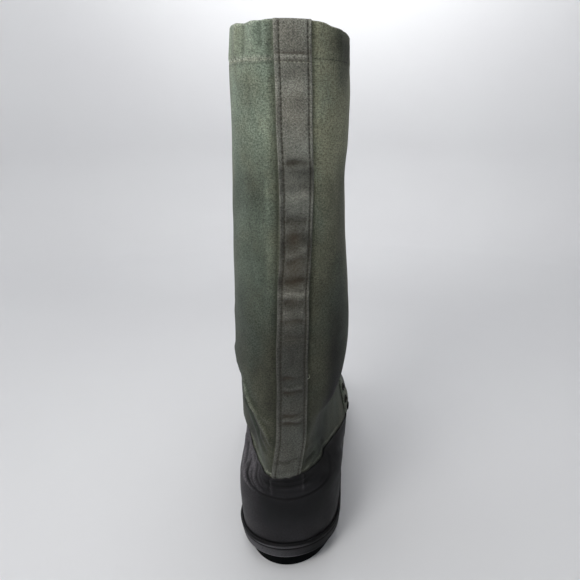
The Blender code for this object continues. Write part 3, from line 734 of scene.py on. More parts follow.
clothShadePatches = (                # painted shade in darker places, and painted light in lighter ones where the strength is below zero
    ("across", "height", "wide", "high", "strength"),
    (36, 441, 9, 12, 0.60), (52, 436, 14, 14, 0.58), (40, 417, 9, 12, 0.44), (58, 405, 12, 40, 0.20),
    (50, 415, 12, 14, 0.14), (52, 320, 14, 50, 0.30), (46, 230, 14, 60, 0.35), (44, 337, 12, 20, 0.24),
    (46, 211, 12, 22, 0.16), (44, 174, 11, 20, 0.36), (26, 174, 6, 16, -0.10), (-23, 363, 6, 10, 0.14),
    (-23, 390, 7, 12, -0.10), (-60, 430, 12, 30, -0.12), (-20, 293, 7, 26, 0.10), (44, 245, 12, 20, 0.14),
    (40, 142, 12, 16, 0.18), (48, 172, 14, 26, 0.12), (46, 138, 14, 18, 0.14), (52, 150, 24, 50, 0.40),
    (36, 205, 9, 24, 0.36), (-17, 172, 6, 20, 0.30), (-31, 206, 6, 14, 0.15), (-15.5, 440, 3, 14, 0.30),
    (-14.5, 400, 2, 30, 0.14), (-34, 337, 9, 16, 0.22), (-36, 245, 10, 22, 0.16), (-18, 392, 5, 16, -0.18),
    (-18.5, 335, 4, 26, -0.34), (-17.5, 285, 4, 26, -0.24), (-48, 420, 10, 30, -0.10),
    (-46, 178, 8, 14, -0.20), (-22, 210, 6, 22, 0.06), (-26, 146, 7, 10, -0.16), (-42, 140, 7, 16, 0.30),
    (-52, 165, 6, 12, 0.36), (-63, 113, 12, 15, 0.40), (-54, 101, 8, 9, 0.25), (-20, 110, 4, 8, -0.12),
    (-68, 116, 18, 20, 0.30), (-38, 121, 9, 14, 0.42), (-31, 105, 8, 10, 0.54), (-54, 156, 7, 12, 0.22),
    (37, 158, 9, 14, 0.46), (34, 262, 12, 60, 0.06), (51, 108, 10, 13, 0.40), (39, 101.5, 6, 3.6, -0.80),
    (56, 95, 6, 5, 0.35), (-43, 442, 6, 9, -0.14), (-48, 391, 7, 16, 0.10), (-19, 245, 5, 16, -0.15),
    (-30, 262, 8, 14, -0.12),
)

instepCreases = (               # the front, finished plainly: degrees of turn from the toe, millimetres up
    ("across0", "height0", "across1", "height1", "bow", "width", "depth", "lean"),
    (-70, 171, 70, 171, -5, 5.0, -1.6, 0.8),
    (-60, 156, 60, 156, -4, 4.0, 1.2, 0.5),
    (-55, 143, 55, 143, -5, 3.6, -1.1, 0.4),
    (-80, 205, 30, 190, 3, 6.0, 0.9, 0.6),
    (-20, 236, 85, 222, -3, 7.0, -0.8, 0.6),
)

shaftStainsAndShade = (                 # soft places of dirt, some of them painted shade
    ("across", "height", "wide", "high", "strength"),
    # a stain, with painted shadow under the rim at the inner side
    (45, 437, 12, 9, 0.25),
    (-12.9, 300, 1.2, 170, 0.50),                   # shadow and dirt along the webbing's edges
    (-13.4, 150, 1.1, 60, 0.30),
    (13.0, 300, 1.1, 170, 0.42),
    (13.5, 150, 1.0, 60, 0.25),
    (34, 260, 20, 60, 0.10),
    # painted shadow under the fold's overhang
    (-45, 150, 7, 14, 0.25),
    (-32, 128, 6, 12, 0.25),
    (0, 99, 40, 6, 0.20),
    (20, 106, 10, 5, 0.3),
)

clothTones = (                  # where the dye is browner, below zero, or greener
    ("across", "height", "wide", "high", "change"),
    (-24, 168, 16, 34, -0.28), (-50, 132, 18, 34, 0.45),
)

foldLightAndShade = (                   # painted light and shade of the folds, placed as creases are: lighter above zero, or darker
    ("across0", "height0", "across1", "height1", "bow", "width", "change", "lean"),
    (-47, 181, -34, 158, -0.5, 1.3, 1.2, 0.0),      # painted highlight on the edge of the corner's fold
    (-35, 161, -18, 132, -0.5, 2.2, 0.45, 0.1),
    (-40, 166, -18, 148, -2, 2.2, 0.22, 0.0),
    (-50, 175, -39, 155, -0.5, 2.8, -0.72, 0.0),    # painted shade in the hollow beside it
    (-41, 157, -25, 126, -0.5, 3.4, -0.72, 0.0),
    (-28, 130, -19, 112, 0.0, 4.0, -0.30, 0.0),
    (-66, 170, -58, 146, 0, 4.0, -0.35, 0.0),
    (-20.5, 347, -19.5, 325, 0.3, 1.5, 0.17, 0.0),  # lighter lines along old folds beside the strip
    (-19.0, 307, -18.0, 288, 0.3, 1.4, 0.19, 0.0),
    (-35, 297, -27, 268, 1.0, 1.6, 0.13, 0.0),
    (-31, 264, -25, 240, 0.5, 1.5, 0.11, 0.0),
    (-23, 226, -21, 205, 0.4, 1.5, 0.12, 0.0),
    (-37.5, 412, -36.5, 392, 0.3, 1.3, 0.18, 0.0),
    (-27, 404, -20, 372, 0.8, 2.6, 0.12, 0.0),
    (-46, 372, -40, 346, -0.6, 2.0, 0.12, 0.0),
    (19, 103, 39, 99, -0.6, 1.3, -0.45, 0.0),       # painted shade and highlight in the pinch beside the strip's foot
    (22, 97, 48, 95.5, -0.4, 1.0, 0.35, 0.0),
)


def softBlobs(across, height, blobs):
    # sum of elliptical bell curves
    total = np.zeros(np.broadcast(across, height).shape)
    for a, h, wide, high, strength in blobs[1:]:
        total += strength * np.exp(-((across - a) / wide) ** 2 - ((height - h) / high) ** 2)
    return total


def hemLine(arc):
    # height of the hem's stitches, which wander as a sine of the way round
    return boot["height"] / mm - shaft["hem"] + 0.5 * np.sin(arc / 21)


def clothRelief(arc, height, turn):
    # height of the cloth over the last, in millimetres: noise, creases, the hem and its puckers
    overEdge = height - rubberTop(turn) / mm
    overHem = height - hemLine(arc)
    onLeft = ramp(arc, -8, -28) * ramp(arc, -90, -60)
    relief = 0.5 * softNoise(arc, height * 0.45, 60, 3) + 0.22 * softNoise(arc, height * 0.6, 22, 4)
    relief = relief + creaseField(arc, height, shaftCreases)
    fromBack = np.degrees(np.abs(wrapped(turn)))
    fromToe = (180 - fromBack) * np.sign(arc)
    relief = relief + creaseField(fromToe, height, instepCreases) * ramp(fromBack, 95, 120)
    # the hem: puckers along its stitches, the step up to the doubled cloth, the groove and the rim's waves
    pucker = np.cos(2 * math.pi * (arc + 1.5 * np.sin(arc / 9)) / shaft["pucker"])
    deep, groove = [base + more * onLeft for base, more in (shaft["puckerDepth"], shaft["hemGroove"])]
    relief += deep * pucker * np.exp(-np.abs(overHem) / (3.0 + 4 * onLeft))
    relief += shaft["hemStep"] * ramp(overHem, 0.5, 3.0) - groove * bell(overHem, 0.7)
    nearRim = ramp(height - boot["height"] / mm, -14, -2)
    relief += shaft["rimRipple"] * onLeft * softNoise(arc, height * 0.2, 9, 5) * nearRim
    # pressed down under the webbing and under the rubber's edge
    underStrip = ramp(np.abs(arc), 15.0, 12.5) * ramp(fromBack, 60, 40)
    relief = relief - underStrip * (np.maximum(relief, 0) + 0.25)
    clear = overEdge - 1.5
    relief = np.where(clear < 0, np.minimum(relief, 0), relief * ease(clear / 7 + 0.15))
    # the slack outer flank between the heel's corner and the patch
    along = alongAt(turn, height * mm) / mm
    flank = ramp(along, 44, 68) * ramp(along, 106, 88) * ramp(overEdge, 0, 24) * ramp(height, 162, 130)
    relief = relief + shaft["slack"] * flank * (wrapped(turn) < 0)
    # flat for the patches
    calm = ramp(along, 103, 108) * ramp(along, 157, 152) * ramp(height, 145, 137)
    return relief * (1 - calm) - 0.1 * calm


def shaftPaint(arc, height, turn, rim, relief, outsideRows):
    # tone, painted light and shade, wear and soil of the cloth, rows of it from the sole up and then down
    # inside
    left = ramp(arc, 14, -26) * ramp(arc, -110, -60)
    right = ramp(arc, 14, 20)
    overHem = height - hemLine(arc)
    blueing = ramp(arc, 2, -50) * ramp(arc, -110, -60) * (1 - 0.45 * ramp(height, 230, 150))
    tone = 0.12 + 0.66 * blueing + softBlobs(arc, height, clothTones)
    tone = tone + 0.4 * ramp(arc, 22, 44) * ramp(height, 310, 250) * ramp(arc, 110, 80)
    tone = tone + 0.22 * bell(arc + 21, 9) * ramp(height, 222, 262)         # greener beside the strip
    tone = tone + 0.15 * softNoise(arc, height * 0.5, 70, 12)
    # painted light and shade, by height and side, then the patches and the folds
    onLeft = 0.5 + (ramp(arc, 6, -6) - 0.5) * ramp(np.abs(arc), 130, 80)
    shade = smoothTable(clothShade, height, "left") * onLeft
    shade = shade + smoothTable(clothShade, height, "right") * (1 - onLeft)
    shade = shade * (1 - softBlobs(arc, height, clothShadePatches))
    shade = shade * np.clip(1 + creaseField(arc, height, foldLightAndShade), 0.3, 2)
    outside = np.arange(len(arc))[:, None] < outsideRows
    shade = np.where(outside, shade, shaft["liningShade"])
    # pale where the cloth rubs on the rubber's lip
    cutEdge = bell(height - rubberTop(turn) / mm - 1.9 - 0.5 * right, 0.85) * ramp(np.abs(arc), 115, 85)
    shade = shade * (1 + (0.8 + 0.6 * right) * cutEdge)
    sharp = sharpness(np.concatenate((relief, np.zeros((len(arc) - len(relief), len(turn))))), 3)
    wear = 0.5 * ramp(sharp, 0.1, 1.0) + 0.5 * ramp(height - rim, -2.2, 0.8) * (0.4 + 1.0 * left)
    wear = wear + 0.9 * left * bell(overHem - 0.5, 1.6) + 1.1 * cutEdge * (0.6 + 0.4 * left)
    # dirt, and painted shade in the creases' troughs, the hem's groove and some of the stains
    soil = 0.35 * ease(-sharp / 0.5) + softBlobs(arc, height, shaftStainsAndShade)
    soil = soil + 0.12 * bell(overHem + 0.4, 0.6) + 0.4 * left * bell(overHem + 1.8, 0.8)
    return {"tone": tone, "shade": shade, "wear": np.clip(outside * wear, 0, 1),
            "soil": np.clip(outside * soil, 0, 0.9)}


def buildShaft():
    # a wall wrapped round the last: rows from the sole up the outside, over the rim and down the inside
    turn = crowdedTurns(shaft["turns"])
    floor = boot["soleTop"] + boot["gap"]
    hidden = edgeHeight(turn) - shaft["tucked"] * mm
    wave = 0.5 * np.sin(turn * 9 + 1.0) + 0.5 * np.sin(turn * 17 + 0.4) + 0.35 * np.sin(turn * 31)
    wave = wave * (1 - 0.9 * bell(turn, 0.32))
    slouch = shaft["innerDrop"] * ramp(turn, 0.2, 0.95) * ramp(turn, 2.3, 1.5)
    slouch = slouch + shaft["outerDrop"] * bell(turn + 0.55, 0.3)
    slouch = slouch - shaft["outerRise"] * bell(turn + 1.4, 0.5)
    rim = boot["height"] + (0.35 + 0.45 * wave - slouch) * mm
    low = np.linspace(0, 1, shaft["lowRows"], endpoint=False)[:, None]
    high = np.concatenate((np.linspace(0, shaft["hemStart"], shaft["legRows"], endpoint=False),
                           np.linspace(shaft["hemStart"], 1, shaft["hemRows"])))[:, None]
    heights = np.concatenate((floor + low * (hidden - floor),
                              hidden + high * (rim - shaft["rollStart"] * mm - hidden)))
    arc = arcFromStrip(turn, heights)
    relief = clothRelief(arc, heights / mm, turn)
    outer = lasted(turn, heights, relief * mm)
    over = [lasted(turn, rim - drop * mm, (relief[-1] - back) * mm) for back, drop in shaft["roll"]]
    # the lining, thicker down to the hem's stitches, sinks with the cloth's hollows to stay behind it
    down = np.linspace(0, 1, shaft["innerRows"])[:, None] ** 0.9
    top = rim - shaft["liningStart"] * mm
    inside = top - down * (top - floor)
    inHem = ramp((inside - boot["height"]) / mm + shaft["hem"], 0, 2)
    wall = boot["canvasWall"] + (shaft["hemWall"] * mm - boot["canvasWall"]) * inHem
    hollows = np.minimum(clothRelief(arcFromStrip(turn, inside), inside / mm, turn) + 0.5, 0)
    hollows = np.minimum(hollows, np.minimum(np.roll(hollows, 1, 0), np.roll(hollows, -1, 0)))
    ripple = 0.2 * softNoise(arc[-1], inside / mm, 40, 8)
    inner = lasted(turn, inside, -wall + (ripple + hollows) * mm)
    rings = np.concatenate((outer, np.stack(over), inner))
    allHeights = np.concatenate((heights, np.stack([rim] * len(over)), inside)) / mm
    allArcs = np.concatenate((arc, np.repeat(arc[-1:], len(rings) - len(arc), axis=0)))
    paint = shaftPaint(allArcs, allHeights, turn, rim / mm, relief, len(heights) + len(over))
    around = np.concatenate((allArcs, allArcs[:, :1] + 2 * np.abs(allArcs[:, :1])), axis=1) * mm
    up = np.concatenate((allHeights, allHeights[:, :1]), axis=1) * mm
    uvs = gridUvs(np.concatenate((around, around[:1])), np.concatenate((up, up[:1])))
    settle(ringMesh("canvas_shaft", rings, clothMaterial, paint, uvs), "canvas_upper", "canvas_upper")
    return outer, arc, heights


shaftGrid, shaftArc, shaftHeights = buildShaft()
print("canvas shaft made")


# Webbing up the back

strip = {
    "width": 24.5,              # millimetres
    "wall": 1.4,
    "lift": 0.5,                # from the last to its underside
    "foot": 90.2,               # its lower end, tucked under the rubber's edge
    "top": 450.6,
    "columns": 53,
    "rows": 330,
    "seams": (-8.6, 9.8),       # across from its middle
    "margins": (-10.9, 11.4),   # the middles of the raised margins outside them
    "marginRidges": ((0.35, 1.2), (0.35, 0.8)),     # rise and width
    "seamRidges": ((-0.45, 0.8), (-0.35, 0.6)),     # below zero: grooves
    "stitch": 3.7,              # spacing of the needle's holes
    "gather": 0.05,             # how much narrower the webbing is drawn in along the leg
    "hemFold": 425.0,           # wrinkles above this height are the hem's own fold and run straight
    "foldRidge": 429.1,
    "foldTroughs": ((426.9, 0.2), (431.2, 0.35)),       # and how far they are darkened, as painted shade and dirt
}

stripWrinkles = (               # millimetres up the strip: troughs below zero, ridges above
    ("height", "width", "depth", "tilt"),
    (426.8, 0.7, -0.35, 0.0), (429.1, 0.9, 0.45, 0.0), (431.2, 0.6, -0.35, 0.0),
    (418, 5, -0.15, 0.02), (402, 5, -0.22, 0.03), (390, 6, 0.2, 0.0), (372, 5, 0.3, 0.0),
    (363, 2.6, -0.95, 0.03), (357.5, 3.0, 0.45, 0.02),
    (340, 3.8, 0.6, -0.03), (332, 3.4, -0.25, 0), (323, 3.2, -0.7, 0.04), (317, 2.8, 0.3, 0.0),
    (311, 3.4, -0.6, -0.06), (304, 2.8, 0.3, 0.15), (298, 2.8, 0.75, 0.30), (292, 2.8, -0.5, 0.2),
    (284, 3.2, 0.35, 0.0), (277, 2.4, -0.8, 0.03), (272, 2.0, 0.3, 0.0), (267, 2.4, 0.75, -0.04),
    (260, 2.2, -0.75, 0.04), (252, 2.8, 0.8, 0.0), (244.5, 2.3, -0.85, 0.02), (238, 2.8, 0.55, 0.0),
    (231, 2.6, -0.35, 0.0), (214, 5, 0.2, 0.05), (194, 1.8, -0.65, 0.04), (184.5, 1.9, 0.75, 0.0),
    (180.8, 1.9, -0.85, 0.0), (172, 4, 0.2, 0.0), (158, 1.9, -0.8, 0.03), (153.5, 1.7, 0.85, 0.0),
    (149.5, 1.8, -0.8, 0.0), (142, 3, 0.25, 0.06), (130, 3, -0.2, 0.03), (118, 3, 0.2, 0.0),
    (110.5, 1.8, -0.5, 0.08), (107, 1.7, 0.6, 0.08), (100, 2, -0.3, -0.05), (96, 1.6, 0.3, -0.05),
)

stripStains = (                 # brown water marks and dirt caught in the wrinkles
    ("across", "height", "wide", "high", "strength"),
    (0, 268, 10, 16, 0.20), (-2, 311, 5, 7, 0.50), (-4, 363, 6, 3.0, 0.22), (3, 363, 6, 2.4, 0.10),
    (0, 290, 9, 18, 0.50), (-2, 322, 8, 4, 0.20), (-2, 277, 8, 4, 0.15), (-1, 259, 7, 3, 0.15),
    (-1, 244.5, 8, 3, 0.20), (-3, 158, 6, 2.4, 0.30), (-3, 180, 6, 2.6, 0.25), (-3, 194, 5, 2.0, 0.25),
    (-2, 150, 7, 2.2, 0.30), (-1, 402, 8, 5, 0.15), (0, 420, 9, 4, 0.10), (0, 229, 8, 5, 0.15),
)

stripLightAndShade = (                  # painted light where the webbing is lighter, above zero, and painted shade where it is darker: margins last
    ("across", "height", "wide", "high", "change"),
    (0, 433, 30, 4.0, -0.20), (0, 427, 30, 1.8, 0.12), (-3, 410.5, 14, 5.5, 0.34), (0, 388, 8, 4.0, -0.28),
    (0, 375, 30, 6.0, -0.10), (0, 355, 30, 5.0, -0.42), (0, 346.5, 30, 4.5, -0.42), (-8, 330, 8, 12, -0.26),
    (7, 331, 6, 8, 0.14), (6, 312, 4, 7, -0.28), (0, 306.5, 14, 4.0, -0.34), (-8, 299, 6, 5, -0.32),
    (-2, 296, 4, 2.4, 0.42), (4, 301.5, 3, 3, 0.34), (0, 290, 9, 16, 0.14), (-1, 362.5, 9, 2.6, -0.36),
    (-7, 288, 5, 4, 0.16), (8, 291, 5, 7, -0.32), (0, 277, 30, 5.0, -0.48), (0, 265.5, 30, 2.6, 0.50),
    (5, 261, 4, 3, 0.28), (-9, 256, 4, 5, 0.28), (0, 247.5, 30, 4.0, 0.44), (0, 320.5, 9, 5, -0.22),
    (0, 257.5, 9, 3, -0.20), (-1, 235, 9, 3.5, -0.16), (0, 210, 14, 8, -0.08), (0, 165.5, 30, 3.2, 0.22),
    (0, 108, 30, 3.5, -0.28), (0, 358, 12, 2.4, -0.34), (-3, 323.5, 8, 5, -0.20), (-5, 305, 6, 4, -0.20),
    (1, 298, 2, 1.8, 0.25), (2, 246, 7, 2.4, 0.26), (0, 266, 9, 2.2, 0.16), (-11, 411, 1.5, 7, 0.32),
    (10.9, 300, 1.4, 6, -0.32), (-11, 270, 1.4, 14, -0.24), (-10.6, 322, 1.6, 50, -0.32),
    (-10.6, 410, 1.6, 36, -0.16), (10.9, 430, 1.5, 16, -0.18), (10.9, 357, 1.5, 14, -0.30),
    (10.9, 303, 1.5, 16, -0.18), (11.0, 180, 1.2, 60, 0.20),
)


def stripRelief(across, height):
    # raised margins outside two stitched grooves, and wrinkles across the part between them
    left, right = strip["seams"]
    between = ramp(across - left, 0.4, 2.8) * ramp(right - across, 0.4, 2.8)
    relief = 0.0
    for kind in ("margin", "seam"):
        for at, (rise, width) in zip(strip[kind + "s"], strip[kind + "Ridges"]):
            relief = relief + rise * bell(across - at, width)
    relief = relief + 0.18 * softNoise(across * 1.2, height, 16, 21) * between
    wrinkles = np.zeros(np.broadcast(across, height).shape)
    for at, width, depth, tilt in stripWrinkles[1:]:
        loose = at < strip["hemFold"]
        wander = loose * (0.7 * np.sin(across * 0.4 + at * 1.7) + 0.03 * across * math.sin(at))
        uneven = 1 - loose * 0.45 * (0.5 + 0.5 * np.sin(across * 0.33 + at * 2.3))
        wrinkles += depth * uneven * bell(height - at - tilt * across - wander, width)
    # faint on the margins, except where the hem's fold runs right across
    wrinkles = wrinkles * np.maximum(0.10 + 0.90 * between, 0.9 * bell(height - 429, 3.0))
    return relief + wrinkles, wrinkles


webbing = dict(cloth, sage="#868980", olive="#7e7d73", worn="#9f9f95", soiled="#3a2e1e", pitch=1.6,
               slub=1.5, grain=0.8, contrast=0.513, ribbing=0.13)      # tighter and greyer than the duck
webbingMaterial = makeClothMaterial("cotton webbing, twill woven", webbing)


def stripPaint(across, up, inEdge, relief, wrinkles):
    # tone, painted light and shade, wear and soil: the hem's fold, the wrinkles, two grooves with needle
    # holes, the margins
    left, right = strip["seams"]
    leftMargin, rightMargin = strip["margins"]
    sharp = sharpness(relief, 2)
    # pale wear on the ridges, and painted highlights along the webbing's edges and on the hem's fold
    wear = 0.4 * ease(sharp / 0.3) + 0.45 * bell(inEdge - 0.4, 0.45)
    wear = wear + 0.55 * bell(up - strip["foldRidge"], 0.7)
    # stains and dirt, and painted shade in the troughs, on the webbing's sides and beside the hem's fold
    soil = 0.15 * ease(-sharp / 0.3) + softBlobs(across, up, stripStains) + 0.5 * ramp(inEdge, 0.3, -0.1)
    soil = soil + sum(dirt * bell(up - at, 0.6) for at, dirt in strip["foldTroughs"])
    # painted shade in the stitched grooves, in dashes at the needle holes
    holes = 0.35 + 0.65 * ease(np.cos(2 * math.pi * up / strip["stitch"]) / 0.8 + 0.3)
    grooves = holes * (bell(across - left, 0.75) + bell(across - right, 0.65))
    margins = bell(across - leftMargin, 0.7) + 0.8 * bell(across - rightMargin, 0.6)
    wear = wear + (0.05 + 0.6 * ramp(up, 270, 220)) * margins       # paler low down
    soil = soil + 0.25 * grooves
    tone = 0.45 + 0.2 * softNoise(across, up, 60, 31)
    # painted light and shade: the table's strip column, the lit and shaded sides of the wrinkles, and the
    # listed bands
    shade = smoothTable(clothShade, up, "strip") * (1 + 0.06 * softNoise(across, up, 22, 33))
    shade = shade * (1 + 0.42 * np.clip(wrinkles, -1, 1)) * (1 + softBlobs(across, up, stripLightAndShade))
    shade = shade * (1 - 0.6 * grooves) * (1 - 0.2 * ease(-sharp / 0.3))
    return {"tone": tone, "shade": shade, "wear": np.clip(wear, 0, 1), "soil": np.clip(soil, 0, 0.85)}


def buildStrip():
    # a sheet on the last: columns across the webbing, rows up it, edges rounded over
    heights = np.linspace(strip["foot"], strip["top"], strip["rows"]) * mm
    up = heights[:, None] / mm
    half = strip["width"] / 2
    across = half * closerAtEnds(strip["columns"])[None, :]
    sway = 0.25 * np.sin(up / 23) + 0.15 * np.sin(up / 9)
    gather = 1 - strip["gather"] * (ramp(up, 215, 265) + 0.7 * bell(up - 305, 36))
    places = smoothTable(stripPath, up, "inward") + sway + across * gather
    turn = np.array([turnAt(x * mm, h) for x, h in zip(places, heights)])
    inEdge = half - np.abs(across)
    inEnd = np.minimum(up - up[0], up[-1] - up)
    thick = strip["wall"] * quarterRound(np.minimum(inEdge, inEnd) / 0.9 + 0.12)
    relief, wrinkles = stripRelief(across, up)
    relief = relief * ease(inEdge + 0.2)
    tuck = 0.8 * ramp(up, 96, 92)                   # pressed down where it goes under the rubber
    lift = strip["lift"] + np.maximum(thick + relief - tuck, 0.15)
    outer = lasted(turn, heights[:, None], lift * mm)
    inner = lasted(turn, heights[:, None], strip["lift"] * mm)
    paint = stripPaint(across, up, inEdge, relief, wrinkles)
    flat = [(size + 0 * turn) * mm for size in (across, up)]
    piece = sheetMesh("back_webbing", outer, inner, *flat, paint, webbingMaterial)
    settle(piece, "back_strip", "back_strip")
    return outer, across[0], heights


stripGrid, stripAcross, stripHeights = buildStrip()
print("back webbing made")


# Rubber bottom with its heel counter

shell = {
    "turns": 300,
    "outerRows": 116,
    "innerRows": 10,
    "middle": 1.0,              # millimetres round from the strip's middle
    "counterTop": 74.0,         # at the heel's middle
    "counterRise": 7.0,         # towards its ends
    "counterReach": 47.0,       # round from the strip's middle to each end
    "counterWall": 0.55,
    "creasesFrom": 66.0,        # the foot below this height is smooth
    "thinnest": 0.4,
    "overWebbing": 1.15,        # how far the webbing's end lifts the rubber over it
    "insideWebbing": 1.1,       # and the rubber's inner face
    "webbingEdges": (-12.2, 15.6),      # its edges show through the rubber, and how far
    "webbingEdge": 0.5,
}

shellCreases = (                # placed and sized as the cloth's
    ("across0", "height0", "across1", "height1", "bow", "width", "depth", "lean"),
    (-64, 85, -38, 84, 1.0, 1.4, 0.7, 0.5),         # where the rubber gathers beside the shaft's corner
    (-58, 82, -34, 80, 0.8, 1.2, -0.7, 0.3),
    (-46, 87, -30, 82, 0.5, 1.1, 0.6, 0.3),
    (-42, 84, -26, 78, 0.5, 1.1, -0.6, 0),
    (-36, 89, -22, 82, 0.5, 1.0, 0.55, 0.3),
    (-30, 85, -18, 79, 0.3, 0.9, -0.5, 0),
    (-26, 88, -16, 82, 0.3, 0.8, 0.4, 0.2),
    (-55, 79, -30, 76, 0.8, 1.4, 0.5, 0.3),
    (-84, 84, -58, 80, 1.0, 1.6, -0.8, 0.5),
    (-80, 80, -54, 77, 1.0, 1.6, 0.6, 0.3),
    (-106, 80, -76, 77, 1.0, 2.0, 0.9, 0.5),
    (-98, 72, -64, 71, 1.0, 2.2, -0.6, 0.4),
    (-22, 88.6, 24, 88.6, 0.6, 0.7, 0.5, 0.2),      # rings across the shelf, under the webbing
    (-20, 85.6, 24, 85.6, 0.8, 0.7, -0.5, 0.15),
    (-22, 82.6, 26, 82.6, 0.9, 0.8, 0.5, 0.15),
    (-20, 79.6, 24, 79.6, 0.9, 0.8, -0.35, 0.1),
    (20, 86, 44, 83, 0.6, 1.5, 0.4, 0.3),
    (30, 82, 60, 80, 0.8, 1.6, -0.5, 0.3),
    (58, 84, 84, 80, 0.8, 1.8, 0.5, 0.4),
    (88, 78, 120, 72, 1.0, 2.4, -0.5, 0.4),
)


rubberMaterial = makeRubberMaterial("vulcanised rubber sheet", rubber)


def counterMask(arc, height):
    # 1 below the counter's top edge, which is crisp and curves up to both ends, where it fades out
    spread = np.abs(arc - shell["middle"]) / shell["counterReach"]
    top = shell["counterTop"] + shell["counterRise"] * np.minimum(spread, 1.2) ** 2
    fade = ramp(spread, 1.35, 0.9)
    return ease((top - height) / 0.9 + 0.5) * fade, top, fade


def shellPaint(arc, up, fromEdge, top, fade, relief, ticks, rows):
    # wear and soil: painted light on the lit left side, made as grey dust, a painted sheen low in the
    # middle, and painted highlights on the ridges, the lip and the webbing's edges;
    # painted shade in the creases, along the counter's line, just above and behind the foxing's top and
    # round the inner side, and darker under the webbing's end; the rows inside stay plain
    sharp = sharpness(relief, 3)
    leftLight = ramp(arc, -11, -57) * ramp(arc, -210, -90)
    above = ramp(up, 75, 78)
    # a painted sheen low in the heel's middle, and a little dust on the shelf
    wear = 0.09 * ramp(up, 60, 36) * ramp(np.abs(arc), 60, 30) + 0.03 * above * ramp(arc, 40, 0)
    # painted light on the lit left side, made as dust, and painted highlights on the crease ridges, the lip
    # and the webbing's edges
    wear = wear + 0.60 * leftLight * (0.6 + 0.4 * above) + (0.12 + 0.34 * leftLight) * ease(sharp / 0.4)
    wear = wear + 0.2 * bell(fromEdge, 0.8) * ramp(arc, 30, 10) + 0.2 * ticks
    # painted shade along the counter's line, in the creases and just above and behind the foxing's top
    soil = 0.8 * bell(up - top - 0.5, 0.75) * fade + 0.5 * ease(-sharp / 0.4) + 0.8 * ramp(up, 31.0, 29.4)
    # painted shade round the inner side
    soil = soil + 0.85 * ramp(arc, 10, 50) * ramp(arc, 190, 80)
    soil = soil + 0.8 * bell(arc - 4, 22) * ramp(fromEdge, 13, 7)
    inside = np.zeros((rows - len(arc), arc.shape[1]))
    wear, soil = [np.clip(np.concatenate((value, inside)), 0, 1) for value in (wear, soil)]
    return {"wear": wear, "soil": soil}


def buildShell():
    # a wall round the foot of the last: up the outside to the lip, over it and down the inside
    turn = crowdedTurns(shell["turns"])
    floor = boot["soleTop"] + boot["gap"]
    draw = 0.35 * np.sin(turn * 21 + 2) + 0.25 * np.sin(turn * 43 + 1)
    edge = rubberTop(turn) + 0.8 * draw * mm
    share = np.linspace(0, 1, shell["outerRows"])
    share = share * 0.72 + 0.28 * (1 - (1 - share) ** 2)
    heights = floor + share[:, None] * (edge - floor)
    arc = arcFromStrip(turn, heights)
    up = heights / mm
    fromEdge = (edge - heights) / mm
    wall = boot["rubberWall"] + (boot["rubberLip"] - boot["rubberWall"]) * ramp(share, 0.55, 1)
    counter, top, fade = counterMask(arc, up)
    atBack = ramp(np.abs(wrapped(turn)), 1, 0.7)
    overStrip = ramp(np.abs(arc - shell["middle"]), 15.5, 12.5) * ramp(fromEdge, 14, 5) * atBack
    lift = shell["overWebbing"] * overStrip
    ticks = sum(bell(arc - at, 0.9) for at in shell["webbingEdges"])
    ticks = ticks * ramp(fromEdge, 17, 11) * ramp(fromEdge, 0.5, 2.5)
    relief = creaseField(arc, up, shellCreases) * ramp(up - shell["creasesFrom"], 0, 6)
    relief = relief + 0.22 * softNoise(arc, up * 1.3, 34, 41) + lift + shell["webbingEdge"] * ticks
    relief = relief - 0.5 * bell(up - top - 0.7, 0.8) * fade
    # the lip is smoother, and lifted all the same
    belowLip = ease(fromEdge / 1.5)
    relief = relief * (0.25 + 0.75 * belowLip) + 0.75 * lift * (1 - belowLip)
    roundLip = boot["rubberLip"] * (1 - quarterRound(fromEdge / 0.9 + 0.25))
    offset = boot["gap"] + wall[:, None] - roundLip + (counter * shell["counterWall"] + relief) * mm
    outer = lasted(turn, heights, np.maximum(offset, boot["gap"] + shell["thinnest"] * mm))
    down = np.linspace(0, 1, shell["innerRows"])[:, None]
    insideLift = shell["insideWebbing"] * np.interp(down, (0, 0.05, 1), (1, 1, 0)) * overStrip[-1:]
    inner = lasted(turn, heights[-1] - down ** 1.5 * (edge - floor), boot["gap"] * 0.8 + insideLift * mm)
    rings = np.concatenate((outer, inner))
    paint = shellPaint(arc, up, fromEdge, top, fade, relief, ticks, len(rings))
    piece = ringMesh("rubber_shell", rings, rubberMaterial, paint)
    settle(piece, "rubber_bottom", "rubber_bottom", "heel_counter")


buildShell()
print("rubber bottom made")


# Foxing band

foxing = {
    "turns": 360,
    "under": 3.0,               # from the last to its inside, in millimetres
    "outside": 1.2,             # points of the profile further out than this are seen
    "middle": 2.0,              # round from the strip's middle to the joint at the heel
    "joint": 0.4,               # how far it rises
    "waver": 0.12,
    "lowerEdge": 13.2,          # heights of its lower edge, groove, rib and darker top
    "groove": 23.3,
    "rib": 25.4,
    "painted": 27.1,
}

foxingProfile = (               # millimetres up, and out from its inside
    ("height", "wall"),
    (12.2, 0.5), (12.0, 1.2), (12.1, 1.9), (12.6, 2.5), (13.2, 2.85), (13.9, 2.8), (14.5, 2.6),
    (17.5, 2.55), (20.5, 2.55), (21.6, 2.55), (22.4, 2.5), (22.8, 2.3), (23.1, 2.0), (23.5, 2.0),
    (23.9, 2.35), (24.5, 2.6), (25.6, 2.7), (26.6, 2.6), (27.4, 2.3), (28.0, 1.6), (28.2, 0.7),
    (27.8, 0.15), (19.0, 0.1), (12.8, 0.1),
)


foxingRubber = dict(rubber, black="#131315", bloom="#1d1d1f", dust="#7c7a7e", dusting=(0.1, 0.6),
                    roughness=(0.54, 0.7))
foxingMaterial = makeRubberMaterial("calendered rubber strip", foxingRubber)


